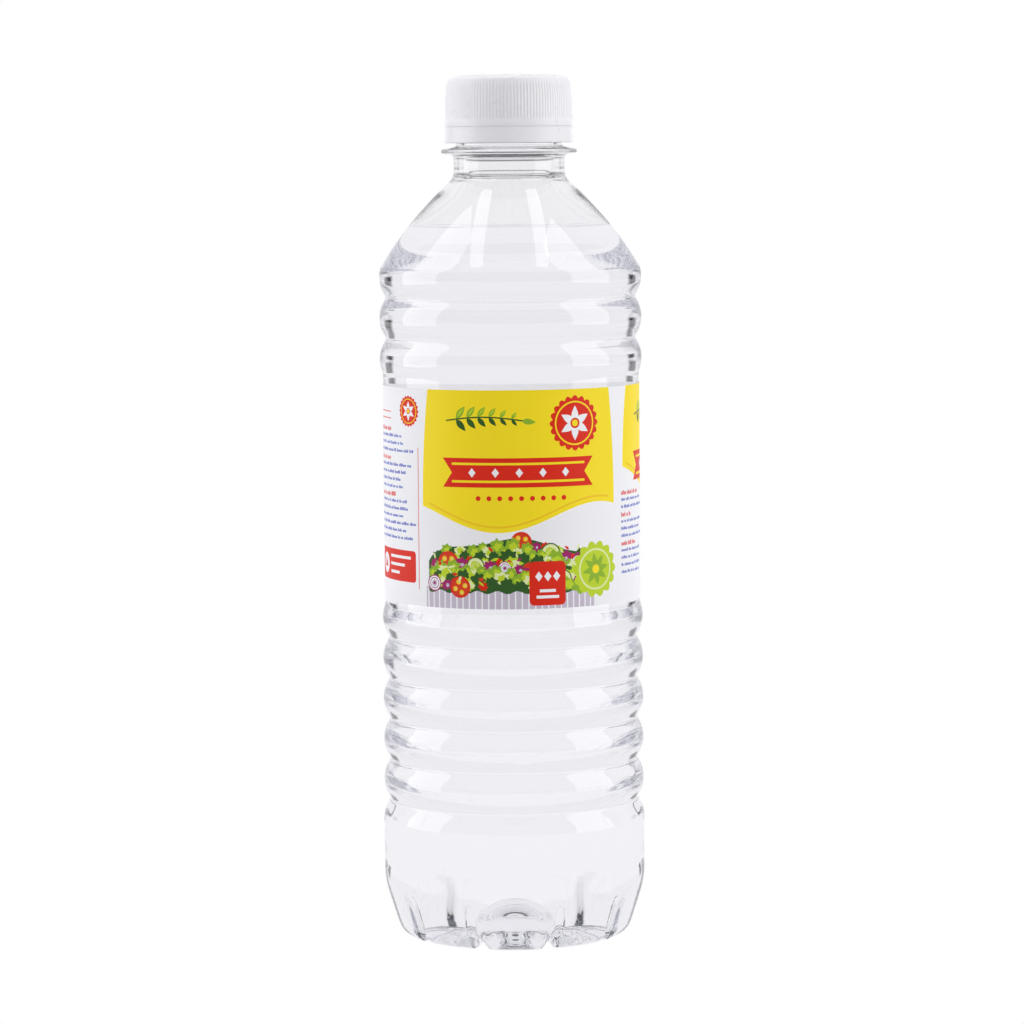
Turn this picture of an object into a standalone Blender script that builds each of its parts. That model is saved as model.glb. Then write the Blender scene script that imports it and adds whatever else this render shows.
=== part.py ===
"""Half-litre vinegar bottle: clear PET with rounded rings, a white screw cap, its tamper band and a label.

Metres, +Z up. The origin lies on the bottle's axis in the plane that the feet stand on, and -Y is the front.
A profile is a list of (radius, height) points that runs from the top of a piece down its outer side.
"""

import math

import bmesh
import bpy

# Bottle, outer radii
BODY_R = 0.0320
RIDGE_R = 0.0321
UPPER_VALLEY_R = 0.03045
LOWER_VALLEY_R = 0.0302
PANEL_R = 0.0309
PANEL_EDGE_R = 0.0312
SHOULDER_END_R = 0.0313
NECK_R = 0.01345
SUPPORT_RING_R = 0.0165
BEAD_R = 0.0140
COLLAR_R = 0.0129
FINISH_R = 0.0125
BORE_R = 0.0109

# Bottle, heights above the feet
LIP_Z = 0.2084
BEAD_TOP_Z = 0.1976
BEAD_Z = 0.1963
BEAD_BOTTOM_Z = 0.1954
COLLAR_TOP_Z = 0.1948
SUPPORT_ROOT_TOP_Z = 0.1931
SUPPORT_RIM_TOP_Z = 0.1922
SUPPORT_RIM_BOTTOM_Z = 0.1911
SUPPORT_ROOT_BOTTOM_Z = 0.1906
NECK_BOTTOM_Z = 0.1853
SHOULDER_END_Z = 0.1642
UPPER_PEAK_Z = 0.1615
UPPER_RINGS = 3
PANEL_TOP_Z = 0.1362
PANEL_BOTTOM_Z = 0.0825
LOWER_PEAK_Z = 0.0785
LOWER_RINGS = 5
RING_PITCH = 0.0100
RING_ARC_R = 0.0080
SHOULDER_ARC_R = 0.0870
BORE_END_Z = 0.1890

# Heel, feet and push-up
HEEL_CORNER_Z = 0.0134
HEEL_SLOPE = math.radians(17.7)
HEEL_ARC_R = 0.0200
FOOT_ARC_R = 0.0040
FOOT_INNER_R = 0.0236
PUSH_UP_FOOT = (0.0110, 0.0034)
PUSH_UP_TOP_R = 0.0062
PUSH_UP_Z = 0.0099
GROOVES = 10
GROOVE_DEPTH = 0.0022
GROOVE_TOP_Z = 0.0112
GROOVE_FADE_Z = 0.0060
GROOVE_INNER_R = 0.0090
GROOVE_FADE_R = 0.0050
GROOVE_HALF_ANGLE = math.radians(4.5)

# Walls and clearances
WALL = 0.0004
GAP = 0.0003
LIQUID_LEVEL_Z = 0.1745

# Cap and tamper band
CAP_TOP_Z = 0.2103
CAP_CROWN_R = 0.0137
CAP_CROWN_Z = 0.2098
CAP_EDGE_R = 0.0144
CAP_EDGE_Z = 0.2092
CAP_CORE_R = 0.0147
RIBS = 120
RIB_DEPTH = 0.0003
RIB_TOP_R = 0.0151
RIB_TOP_Z = 0.2082
RIB_BOTTOM_R = 0.0154
RIB_BOTTOM_Z = 0.1990
SKIRT_R = 0.01555
SKIRT_TOP_Z = 0.1992
SKIRT_BOTTOM_Z = 0.19765
CAP_CAVITY_R = 0.0142
CAP_CAVITY_TOP_Z = 0.2087
BAND_BOTTOM_R = 0.0157
BAND_BOTTOM_Z = 0.1937
BAND_BORE_R = 0.0145

# Label
LABEL_TOP_Z = 0.1354
LABEL_BOTTOM_Z = 0.0833
LABEL_R = 0.0313
LABEL_THICKNESS = 0.00015

# Facets
BODY_STEPS = 4 * GROOVES
CAP_STEPS = 48
MERGE = 0.00001


def clear_scene():
    for obj in list(bpy.data.objects):
        bpy.data.objects.remove(obj, do_unlink=True)


def new_collection(name):
    collection = bpy.data.collections.new(name)
    bpy.context.scene.collection.children.link(collection)
    return collection


def material(name, colour, roughness, ior=1.5, transmission=0.0):
    """A Principled BSDF in a linear colour."""
    made = bpy.data.materials.new(name)
    made.use_nodes = True
    shader = made.node_tree.nodes["Principled BSDF"]
    shader.inputs["Base Color"].default_value = (*colour, 1.0)
    shader.inputs["Roughness"].default_value = roughness
    shader.inputs["Metallic"].default_value = 0.0
    shader.inputs["IOR"].default_value = ior
    shader.inputs["Transmission Weight"].default_value = transmission
    return made


def arc_between(start, end, radius, steps):
    """Points of the outward-bulging arc from start down to end, without start."""
    (r0, z0), (r1, z1) = start, end
    chord = math.hypot(r1 - r0, z1 - z0)
    towards_axis = ((z1 - z0) / chord, -(r1 - r0) / chord)
    drop = math.sqrt(radius**2 - (chord / 2) ** 2)
    centre = ((r0 + r1) / 2 + towards_axis[0] * drop, (z0 + z1) / 2 + towards_axis[1] * drop)
    first = math.atan2(z0 - centre[1], r0 - centre[0])
    last = math.atan2(z1 - centre[1], r1 - centre[0])
    angles = [first + (last - first) * i / steps for i in range(1, steps + 1)]
    return [(centre[0] + radius * math.cos(a), centre[1] + radius * math.sin(a)) for a in angles]


def ring_drop(distance):
    """How far a ring's surface lies inside its crest, at this height from the crest."""
    return RING_ARC_R - math.sqrt(RING_ARC_R**2 - distance**2)


def rings(top_peak_z, count, valley_r, flanks):
    """Crests and valleys of a stack of rings, from the first crest to the last.

    flanks gives the points between a crest and a valley, as heights from the crest.
    """
    points = []
    for i in range(count):
        peak_z = top_peak_z - i * RING_PITCH
        if i:
            points += [(BODY_R - ring_drop(d), peak_z + d) for d in reversed(flanks)]
        points.append((BODY_R, peak_z))
        if i < count - 1:
            points += [(BODY_R - ring_drop(d), peak_z - d) for d in flanks]
            points.append((valley_r, peak_z - RING_PITCH / 2))
    return points


def heel(heel_steps, foot_steps):
    """The plain lower body, the sloping heel and the round edge of the feet."""
    slope = (-math.sin(HEEL_SLOPE), -math.cos(HEEL_SLOPE))
    reach = HEEL_ARC_R * math.tan(HEEL_SLOPE / 2)
    start = (BODY_R, HEEL_CORNER_Z + reach)
    end = (BODY_R + slope[0] * reach, HEEL_CORNER_Z + slope[1] * reach)
    foot_corner_r = BODY_R - HEEL_CORNER_Z * math.tan(HEEL_SLOPE)
    foot_reach = FOOT_ARC_R * math.tan((math.pi / 2 - HEEL_SLOPE) / 2)
    foot_start = (foot_corner_r - slope[0] * foot_reach, -slope[1] * foot_reach)
    foot_end = (foot_corner_r - foot_reach, 0.0)
    points = [start] + arc_between(start, end, HEEL_ARC_R, heel_steps)
    return points + [foot_start] + arc_between(foot_start, foot_end, FOOT_ARC_R, foot_steps)


def body_line(flanks, shoulder_steps, heel_steps, foot_steps):
    """The bottle's outer side from the foot of the neck down to the centre of its base."""
    neck_foot = (NECK_R, NECK_BOTTOM_Z)
    shoulder_end = (SHOULDER_END_R, SHOULDER_END_Z)
    last_upper_z = UPPER_PEAK_Z - (UPPER_RINGS - 1) * RING_PITCH
    last_lower_z = LOWER_PEAK_Z - (LOWER_RINGS - 1) * RING_PITCH
    edge_drop = BODY_R - PANEL_EDGE_R
    edge_from_peak = math.sqrt(RING_ARC_R**2 - (RING_ARC_R - edge_drop) ** 2)
    points = [neck_foot]
    points += arc_between(neck_foot, shoulder_end, SHOULDER_ARC_R, shoulder_steps)
    points += rings(UPPER_PEAK_Z, UPPER_RINGS, UPPER_VALLEY_R, flanks)
    points += [(PANEL_EDGE_R, last_upper_z - edge_from_peak), (PANEL_EDGE_R, PANEL_TOP_Z)]
    points += [(PANEL_R, PANEL_TOP_Z - GAP), (PANEL_R, PANEL_BOTTOM_Z + GAP)]
    points += [(PANEL_EDGE_R, PANEL_BOTTOM_Z)]
    points += rings(LOWER_PEAK_Z, LOWER_RINGS, LOWER_VALLEY_R, flanks)
    points += [(BODY_R - ring_drop(d), last_lower_z - d) for d in flanks]
    points += [(LOWER_VALLEY_R, last_lower_z - RING_PITCH / 2)]
    points += [(BODY_R - ring_drop(d), last_lower_z - RING_PITCH + d) for d in reversed(flanks)]
    points += [(RIDGE_R, last_lower_z - RING_PITCH)]
    points += heel(heel_steps, foot_steps)
    return points + [(FOOT_INNER_R, 0.0), PUSH_UP_FOOT, (PUSH_UP_TOP_R, PUSH_UP_Z), (0.0, PUSH_UP_Z)]


def inset(points, distance):
    """The line moved in from its outer side by distance, with mitred corners."""
    moved = []
    for i, (r, z) in enumerate(points):
        before = points[max(i - 1, 0)]
        after = points[min(i + 1, len(points) - 1)]
        normals = []
        for a, b in ((before, (r, z)), ((r, z), after)):
            length = math.hypot(b[0] - a[0], b[1] - a[1])
            if length:
                normals.append(((b[1] - a[1]) / length, -(b[0] - a[0]) / length))
        n_r = sum(n[0] for n in normals) / len(normals)
        n_z = sum(n[1] for n in normals) / len(normals)
        scale = distance / (n_r**2 + n_z**2)
        moved.append((max(r + n_r * scale, 0.0) if r else 0.0, z + n_z * scale))
    return moved


def below(points, level):
    """The part of a line under a level, from the axis out to the line and then down it."""
    kept = [p for p in points if p[1] < level]
    last_above = points[points.index(kept[0]) - 1]
    share = (last_above[1] - level) / (last_above[1] - kept[0][1])
    edge_r = last_above[0] + (kept[0][0] - last_above[0]) * share
    return [(0.0, level), (edge_r, level)] + kept


def neck_outline():
    """The finish, tamper bead, support ring and neck, from the lip down."""
    return [
        (FINISH_R, LIP_Z),
        (FINISH_R, BEAD_TOP_Z),
        (BEAD_R, BEAD_Z),
        (BEAD_R, BEAD_BOTTOM_Z),
        (COLLAR_R, COLLAR_TOP_Z),
        (COLLAR_R, SUPPORT_ROOT_TOP_Z),
        (SUPPORT_RING_R, SUPPORT_RIM_TOP_Z),
        (SUPPORT_RING_R, SUPPORT_RIM_BOTTOM_Z),
        (NECK_R, SUPPORT_ROOT_BOTTOM_Z),
    ]


def turned(name, profile, steps, collection, closed=False):
    """A solid turned round Z from its profile, with its facets' corners at equal angles."""
    mesh = bpy.data.meshes.new(name)
    edges = [(i, i + 1) for i in range(len(profile) - 1)]
    if closed:
        edges.append((len(profile) - 1, 0))
    mesh.from_pydata([(r, 0.0, z) for r, z in profile], edges, [])
    obj = bpy.data.objects.new(name, mesh)
    collection.objects.link(obj)
    screw = obj.modifiers.new("Turned", "SCREW")
    screw.axis = "Z"
    screw.steps = steps
    screw.render_steps = steps
    screw.use_merge_vertices = True
    screw.merge_threshold = MERGE
    return obj


def freeze(obj):
    """Turns an object's modifiers into plain mesh."""
    graph = bpy.context.evaluated_depsgraph_get()
    mesh = bpy.data.meshes.new_from_object(obj.evaluated_get(graph))
    obj.modifiers.clear()
    obj.data = mesh
    return obj


def groove_share(r, z):
    """How much of a groove's full depth is left at a point of the heel or base."""
    from_top = (GROOVE_TOP_Z - z) / GROOVE_FADE_Z
    from_axis = (r - GROOVE_INNER_R) / GROOVE_FADE_R
    return max(0.0, min(1.0, from_top, from_axis))


def shape_feet(obj):
    """Gathers a turned piece's facets beside the grooves, and sinks the grooves between its feet."""
    mesh = bmesh.new()
    mesh.from_mesh(obj.data)
    step = math.tau / BODY_STEPS
    for vert in mesh.verts:
        r = math.hypot(vert.co.x, vert.co.y)
        z = vert.co.z
        place = round(math.atan2(vert.co.y, vert.co.x) / step) % BODY_STEPS
        angle = place * step
        if place % 4 == 1:
            angle += GROOVE_HALF_ANGLE - step
        elif place % 4 == 3:
            angle -= GROOVE_HALF_ANGLE - step
        elif place % 4 == 0:
            sunk = GROOVE_DEPTH * groove_share(r, z) / math.sqrt(2)
            r -= sunk
            z += sunk
        vert.co = (r * math.cos(angle), r * math.sin(angle), z)
    bmesh.ops.triangulate(mesh, faces=mesh.faces, quad_method="SHORT_EDGE")
    mesh.to_mesh(obj.data)
    mesh.free()


def finish(obj, surface, sharp_angle=math.radians(30)):
    obj.data.materials.clear()
    obj.data.materials.append(surface)
    obj.data.shade_smooth()
    obj.data.set_sharp_from_angle(angle=sharp_angle)


def make_bottle(parts, surface):
    """The PET shell, with its mouth open under the cap."""
    outer = neck_outline() + body_line((0.0032,), 8, 3, 4)
    inner = [(BORE_R, LIP_Z), (BORE_R, BORE_END_Z)] + inset(body_line((), 5, 2, 2), WALL)
    bottle = freeze(turned("bottle", inner[::-1] + outer, BODY_STEPS, parts))
    shape_feet(bottle)
    finish(bottle, surface)


def make_vinegar(parts, surface):
    """The vinegar up to its level, clear of the wall by the gap."""
    line = below(inset(body_line((), 5, 2, 2), WALL + GAP), LIQUID_LEVEL_Z)
    vinegar = freeze(turned("vinegar", line, BODY_STEPS, parts))
    shape_feet(vinegar)
    finish(vinegar, surface)


def cut_or_join(obj, other, operation):
    boolean = obj.modifiers.new(operation.title(), "BOOLEAN")
    boolean.operation = operation
    boolean.object = other
    other.hide_render = True
    other.display_type = "WIRE"


def ribbed_barrel(helpers):
    """The grip of the cap: a cone with every second corner set in, which leaves a ring of ribs."""
    mesh = bpy.data.meshes.new("cap_ribs")
    barrel = bmesh.new()
    bmesh.ops.create_cone(
        barrel,
        cap_ends=True,
        segments=2 * RIBS,
        radius1=RIB_BOTTOM_R,
        radius2=RIB_TOP_R,
        depth=RIB_TOP_Z - RIB_BOTTOM_Z,
    )
    for vert in barrel.verts:
        r = math.hypot(vert.co.x, vert.co.y)
        if round(math.atan2(vert.co.y, vert.co.x) / (math.pi / RIBS)) % 2:
            vert.co.x *= (r - RIB_DEPTH) / r
            vert.co.y *= (r - RIB_DEPTH) / r
    barrel.to_mesh(mesh)
    barrel.free()
    ribs = bpy.data.objects.new("cap_ribs", mesh)
    ribs.location.z = (RIB_TOP_Z + RIB_BOTTOM_Z) / 2
    helpers.objects.link(ribs)
    return ribs


def make_cap(parts, helpers, surface):
    """The screw cap: a domed crown, a ribbed grip, a plain skirt and its hollow."""
    outline = [
        (0.0, CAP_TOP_Z),
        (CAP_CROWN_R, CAP_CROWN_Z),
        (CAP_EDGE_R, CAP_EDGE_Z),
        (CAP_CORE_R, RIB_TOP_Z - GAP),
        (CAP_CORE_R, SKIRT_TOP_Z + GAP),
        (SKIRT_R, SKIRT_TOP_Z),
        (SKIRT_R, SKIRT_BOTTOM_Z),
        (0.0, SKIRT_BOTTOM_Z),
    ]
    cap = turned("cap", outline, CAP_STEPS, parts)
    cut_or_join(cap, ribbed_barrel(helpers), "UNION")
    hollow_top = (CAP_CAVITY_R, CAP_CAVITY_TOP_Z)
    hollow_foot = (CAP_CAVITY_R, SKIRT_BOTTOM_Z - GAP)
    hollow_line = [(0.0, hollow_top[1]), hollow_top, hollow_foot, (0.0, hollow_foot[1])]
    cut_or_join(cap, turned("cap_hollow", hollow_line, CAP_STEPS, helpers), "DIFFERENCE")
    finish(freeze(cap), surface)


def make_tamper_band(parts, surface):
    """The ring under the cap, which the slit parts from it."""
    top_z = SKIRT_BOTTOM_Z - GAP
    outline = [
        (SKIRT_R, top_z),
        (BAND_BOTTOM_R, BAND_BOTTOM_Z),
        (BAND_BORE_R, BAND_BOTTOM_Z),
        (BAND_BORE_R, top_z),
    ]
    finish(freeze(turned("tamper_band", outline, CAP_STEPS, parts, closed=True)), surface)


def make_label(parts, surface):
    """The printed film round the straight panel."""
    inner_r = LABEL_R - LABEL_THICKNESS
    outline = [
        (LABEL_R, LABEL_TOP_Z),
        (LABEL_R, LABEL_BOTTOM_Z),
        (inner_r, LABEL_BOTTOM_Z),
        (inner_r, LABEL_TOP_Z),
    ]
    label = freeze(turned("label", outline, BODY_STEPS, parts, closed=True))
    shape_feet(label)
    finish(label, surface)


def main():
    clear_scene()
    parts = new_collection("vinegar_bottle")
    helpers = new_collection("helpers")
    make_bottle(parts, material("clear_pet", (0.96, 0.97, 0.98), 0.03, ior=1.57, transmission=1.0))
    make_vinegar(parts, material("white_vinegar", (0.97, 0.98, 0.98), 0.0, ior=1.34, transmission=1.0))
    white_plastic = material("white_polyethylene", (0.80, 0.81, 0.83), 0.35)
    make_cap(parts, helpers, white_plastic)
    make_tamper_band(parts, white_plastic)
    make_label(parts, material("label_film", (0.88, 0.74, 0.05), 0.3))
    helpers.hide_render = True


main()
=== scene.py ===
"""The looks of a half-litre bottle of white vinegar, in a white studio.

The pieces are the clear PET bottle, the vinegar in it, the white screw cap, its tamper ring and the label.
Metres, +Z up. The bottle's axis is Z, its feet stand on z = 0 and -Y is its front.
"""

import logging
import math
import random
from dataclasses import dataclass, field
from enum import Enum

import bpy
import numpy as np
from mathutils import Matrix, Vector
from mathutils.geometry import delaunay_2d_cdt


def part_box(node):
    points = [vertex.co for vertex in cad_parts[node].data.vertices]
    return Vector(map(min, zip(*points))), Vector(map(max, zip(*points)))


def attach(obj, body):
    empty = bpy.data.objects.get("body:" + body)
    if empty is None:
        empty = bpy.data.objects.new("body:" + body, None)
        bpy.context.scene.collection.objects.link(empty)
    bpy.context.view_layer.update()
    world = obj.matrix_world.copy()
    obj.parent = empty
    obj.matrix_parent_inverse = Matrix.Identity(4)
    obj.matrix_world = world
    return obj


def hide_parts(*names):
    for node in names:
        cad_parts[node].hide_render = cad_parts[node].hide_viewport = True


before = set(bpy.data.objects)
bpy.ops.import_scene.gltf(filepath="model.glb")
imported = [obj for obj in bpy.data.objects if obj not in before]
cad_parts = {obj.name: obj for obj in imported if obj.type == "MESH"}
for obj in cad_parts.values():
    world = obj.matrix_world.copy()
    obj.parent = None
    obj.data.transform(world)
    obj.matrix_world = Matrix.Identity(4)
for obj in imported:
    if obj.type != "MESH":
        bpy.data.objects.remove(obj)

log = logging.getLogger("vinegar_bottle")

MM = 0.001
FRONT = -math.pi / 2
VINEGAR_IOR = 1.34

# A place, a range, and a rise with how much, from where and over what reach
Point = tuple[float, float]
Span = tuple[float, float]
Step = tuple[float, float, float]
Socket = bpy.types.NodeSocket
Colour = Socket | str
Inputs = dict[str | int, object]


def hex_to_linear(code: str) -> tuple[float, float, float, float]:
    """Turns an sRGB colour into the linear one that Blender's sockets take.

    Args:
        code: The colour as "#RRGGBB".

    Returns:
        Red, green, blue and an alpha of 1.
    """
    shares = [int(code[i : i + 2], 16) / 255 for i in (1, 3, 5)]
    linear = [s / 12.92 if s <= 0.04045 else ((s + 0.055) / 1.055) ** 2.4 for s in shares]
    return (linear[0], linear[1], linear[2], 1.0)


class Nodes:
    """A shader's node tree in the making. Wherever a colour is taken, so is a code such as "#RRGGBB"."""

    def __init__(self, tree: bpy.types.NodeTree) -> None:
        """Starts from an empty tree."""
        tree.nodes.clear()
        self.tree = tree

    def add(self, kind: str, inputs: Inputs | None = None, **settings: object) -> bpy.types.Node:
        """Adds one node with its settings, its values and its links.

        Args:
            kind: The node's type name, without its "ShaderNode".
            inputs: For each input, by name or number, a value or the output socket that feeds it.
            settings: The node's own properties.

        Returns:
            The new node.
        """
        node = self.tree.nodes.new(f"ShaderNode{kind}")
        for name, value in settings.items():
            setattr(node, name, value)
        for key, value in (inputs or {}).items():
            if isinstance(value, Socket):
                self.tree.links.new(value, node.inputs[key])
            else:
                node.inputs[key].default_value = hex_to_linear(value) if isinstance(value, str) else value
        return node

    def place(self) -> Socket:
        """The place in the piece's own space, in metres."""
        return self.add("TexCoord").outputs["Object"]

    def noise(self, size: float, detail: float) -> Socket:
        """Noise in the piece's own space, whose spots have about the given size."""
        inputs = {"Vector": self.place(), "Scale": 1 / size, "Detail": detail}
        return self.add("TexNoise", inputs).outputs["Fac"]

    def math(self, operation: str, *values: Socket | float) -> Socket:
        """One step of arithmetic on the values."""
        return self.add("Math", dict(enumerate(values)), operation=operation).outputs[0]

    def mapped(self, value: Socket, source: Span, target: Span = (0.0, 1.0), eased: bool = False) -> Socket:
        """Brings a value from one range to another, and keeps it in there.

        Args:
            value: The value.
            source: The range that it comes from.
            target: The range that it is brought to.
            eased: Whether it starts and ends level.

        Returns:
            The new value.
        """
        inputs = {"Value": value, "From Min": source[0], "From Max": source[1]}
        inputs |= {"To Min": target[0], "To Max": target[1]}
        easing = "SMOOTHSTEP" if eased else "LINEAR"
        return self.add("MapRange", inputs, interpolation_type=easing).outputs[0]

    def mix(self, share: Socket | float, first: Colour, second: Colour, blend: str = "MIX") -> Socket:
        """Goes from the first colour to the second by a share."""
        inputs = {0: share, 6: first, 7: second}
        return self.add("Mix", inputs, data_type="RGBA", blend_type=blend).outputs[2]

    def bump(self, height: Socket, distance: float, strength: float) -> Socket:
        """The normal of a surface that a height raises by a distance."""
        inputs = {"Height": height, "Distance": distance, "Strength": strength}
        return self.add("Bump", inputs).outputs["Normal"]

    def plastic(self, inputs: Inputs) -> Socket:
        """The shader that the plastics, the liquid and the paper are all set up with."""
        return self.add("BsdfPrincipled", inputs).outputs[0]

    def show(self, shader: Socket, kind: str = "OutputMaterial") -> None:
        """Gives the tree its output."""
        self.add(kind, {"Surface": shader})


def empty_material(name: str) -> tuple[bpy.types.Material, Nodes]:
    """Makes a material whose node tree is empty.

    Args:
        name: The material's name.

    Returns:
        The material and its nodes.
    """
    made = bpy.data.materials.new(name)
    made.use_nodes = True
    return made, Nodes(made.node_tree)


def add_object(name: str, data: bpy.types.ID) -> bpy.types.Object:
    """Makes an object out of a mesh, a light or a camera, and puts it in the scene.

    Args:
        name: The object's name.
        data: What it shows.

    Returns:
        The new object.
    """
    obj = bpy.data.objects.new(name, data)
    bpy.context.scene.collection.objects.link(obj)
    return obj


def smooth(value: np.ndarray | float) -> np.ndarray:
    """Eases a share from 0 to 1, with a level start and end."""
    share = np.clip(value, 0.0, 1.0)
    return share * share * (3.0 - 2.0 * share)


# Outlines


def arc(start: Point, end: Point, radius: float, steps: int = 48) -> list[Point]:
    """Points of the arc that bulges away from the axis, from start down to end.

    Args:
        start: Its upper end, as a radius and a height.
        end: Its lower end.
        radius: The arc's radius.
        steps: How many chords it is drawn with.

    Returns:
        The points, both ends among them.
    """
    (r0, z0), (r1, z1) = start, end
    chord = math.hypot(r1 - r0, z1 - z0)
    towards_axis = ((z1 - z0) / chord, -(r1 - r0) / chord)
    drop = math.sqrt(radius**2 - (chord / 2) ** 2)
    centre = ((r0 + r1) / 2 + towards_axis[0] * drop, (z0 + z1) / 2 + towards_axis[1] * drop)
    first = math.atan2(z0 - centre[1], r0 - centre[0])
    last = math.atan2(z1 - centre[1], r1 - centre[0])
    angles = [first + (last - first) * i / steps for i in range(steps + 1)]
    return [(centre[0] + radius * math.cos(a), centre[1] + radius * math.sin(a)) for a in angles]


def along(points: np.ndarray) -> np.ndarray:
    """How far each point of a line lies along it."""
    return np.concatenate([[0.0], np.cumsum(np.hypot(*np.diff(points, axis=0).T))])


def evenly(points: list[Point] | np.ndarray, spacing: float) -> np.ndarray:
    """The same line with a point at every spacing.

    Args:
        points: The line.
        spacing: How far apart the points lie.

    Returns:
        The new points.
    """
    line = np.asarray(points, float)
    way = along(line)
    places = np.linspace(0.0, way[-1], max(2, int(way[-1] / spacing) + 1))
    return np.column_stack([np.interp(places, way, line[:, i]) for i in (0, 1)])


def softened(points: list[Point] | np.ndarray, reach: float, spacing: float = 0.05 * MM) -> np.ndarray:
    """Rounds a line's corners the way a mould does, and keeps its ends.

    Args:
        points: The line, as radii and heights.
        reach: How far a corner's rounding reaches to either side.
        spacing: How closely the line is drawn.

    Returns:
        The rounded line, as points at that spacing.
    """
    line = evenly(points, spacing)
    half = int(3 * reach / spacing)
    weights = np.exp(-0.5 * (np.arange(-half, half + 1) * spacing / reach) ** 2)
    weights /= weights.sum()
    before = 2 * line[0] - line[half:0:-1]
    after = 2 * line[-1] - line[-2 : -half - 2 : -1]
    padded = np.vstack([before, line, after])
    return np.column_stack([np.convolve(padded[:, i], weights, "valid") for i in (0, 1)])


def thinned(line: np.ndarray, turn: float, longest: float) -> np.ndarray:
    """Keeps only the points that a line's curves need.

    Args:
        line: A finely drawn line.
        turn: The most that the line may turn between two kept points, in radians.
        longest: The most that they may lie apart.

    Returns:
        The kept points, both ends among them.
    """
    steps = np.diff(line, axis=0)
    lengths = np.hypot(steps[:, 0], steps[:, 1])
    headings = np.unwrap(np.arctan2(steps[:, 1], steps[:, 0]))
    turned = np.concatenate([[0.0], np.cumsum(np.abs(np.diff(headings))), [0.0]])
    turned[-1] = turned[-2]
    need = turned / turn + np.concatenate([[0.0], np.cumsum(lengths)]) / longest
    wanted = np.linspace(0.0, need[-1], int(math.ceil(need[-1])) + 1)
    return np.column_stack([np.interp(wanted, need, line[:, i]) for i in (0, 1)])


def normals_of(line: np.ndarray) -> np.ndarray:
    """Unit normals of a line that runs down a piece's outer side, pointing out of the piece.

    Args:
        line: Radii and heights, from the top down.

    Returns:
        One normal for each point.
    """
    steps = np.gradient(line, axis=0)
    normals = np.column_stack([-steps[:, 1], steps[:, 0]])
    return normals / np.hypot(normals[:, 0], normals[:, 1])[:, None]


# Turned grids


def turned_grid(line: np.ndarray, angles: np.ndarray) -> np.ndarray:
    """Turns a line round Z.

    Args:
        line: Radii and heights, from the top down.
        angles: The columns' angles from +X, or a single row of them.

    Returns:
        The grid's points, by row, column and axis.
    """
    r = line[:, 0][:, None]
    z = np.broadcast_to(line[:, 1][:, None], (len(line), len(angles)))
    return np.dstack([r * np.cos(angles)[None, :], r * np.sin(angles)[None, :], z])


def grid_normals(grid: np.ndarray) -> np.ndarray:
    """Unit normals of a closed-round grid whose rows run down its outer side.

    Args:
        grid: The grid's points.

    Returns:
        One normal for each point.
    """
    across = np.roll(grid, -1, axis=1) - np.roll(grid, 1, axis=1)
    down = np.gradient(grid, axis=0)
    normals = np.cross(down, across)
    return normals / np.linalg.norm(normals, axis=2, keepdims=True)


@dataclass
class Shell:
    """A mesh in the making, out of grids that are closed all round."""

    points: list[np.ndarray] = field(default_factory=list)
    faces: list[tuple[int, ...]] = field(default_factory=list)
    slots: list[int] = field(default_factory=list)
    count: int = 0

    def add_points(self, points: np.ndarray) -> np.ndarray:
        """Adds points and gives their numbers, in the points' own layout.

        Args:
            points: The points, in any layout.

        Returns:
            The numbers.
        """
        flat = points.reshape(-1, 3)
        numbers = np.arange(self.count, self.count + len(flat)).reshape(points.shape[:-1])
        self.points.append(flat)
        self.count += len(flat)
        return numbers

    def band(self, upper: np.ndarray, lower: np.ndarray, slot: int = 0) -> None:
        """Joins two closed rows by quads that face away from the axis where upper lies above lower.

        Args:
            upper: The upper row's numbers.
            lower: The lower row's numbers.
            slot: The faces' material slot.
        """
        count = len(upper)
        for j in range(count):
            k = (j + 1) % count
            self.faces.append((int(upper[j]), int(lower[j]), int(lower[k]), int(upper[k])))
            self.slots.append(slot)

    def skin(self, rows: np.ndarray, slot: int = 0) -> None:
        """Joins each row of a grid's numbers to the next."""
        for upper, lower in zip(rows[:-1], rows[1:]):
            self.band(upper, lower, slot)

    def cover(self, row: np.ndarray, height: float, slot: int = 0, outward: bool = True) -> None:
        """Closes a last row with a point on the axis.

        Args:
            row: The row's numbers.
            height: Where the point lies.
            slot: The faces' material slot.
            outward: Whether the surface goes on as its bands do, or is turned round.
        """
        pole = int(self.add_points(np.array([[0.0, 0.0, height]]))[0])
        count = len(row)
        for j in range(count):
            k = (j + 1) % count
            corner = (int(row[j]), pole, int(row[k]))
            self.faces.append(corner if outward else corner[::-1])
            self.slots.append(slot)

    def build(self, name: str, finishes: list[bpy.types.Material]) -> bpy.types.Object:
        """Makes the object, shaded smooth.

        Args:
            name: The piece's name.
            finishes: One material for each slot.

        Returns:
            The new object, in the scene.
        """
        mesh = bpy.data.meshes.new(name)
        mesh.from_pydata(np.vstack(self.points).tolist(), [], self.faces)
        for finish in finishes:
            mesh.materials.append(finish)
        mesh.polygons.foreach_set("material_index", self.slots)
        mesh.shade_smooth()
        mesh.validate()
        mesh.update()
        return add_object(name, mesh)


def stand_for(piece: bpy.types.Object, node: str, slot: str) -> None:
    """Puts a piece in a CAD node's place and reports it.

    Args:
        piece: The dressed piece.
        node: The node that it stands for.
        slot: The name of its material slot, which goes into the log.
    """
    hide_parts(node)
    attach(piece, "root")
    triangles = sum(len(face.vertices) - 2 for face in piece.data.polygons)
    log.info("%s: %d triangles, %s", piece.name, triangles, slot)


# Finishes


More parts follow.
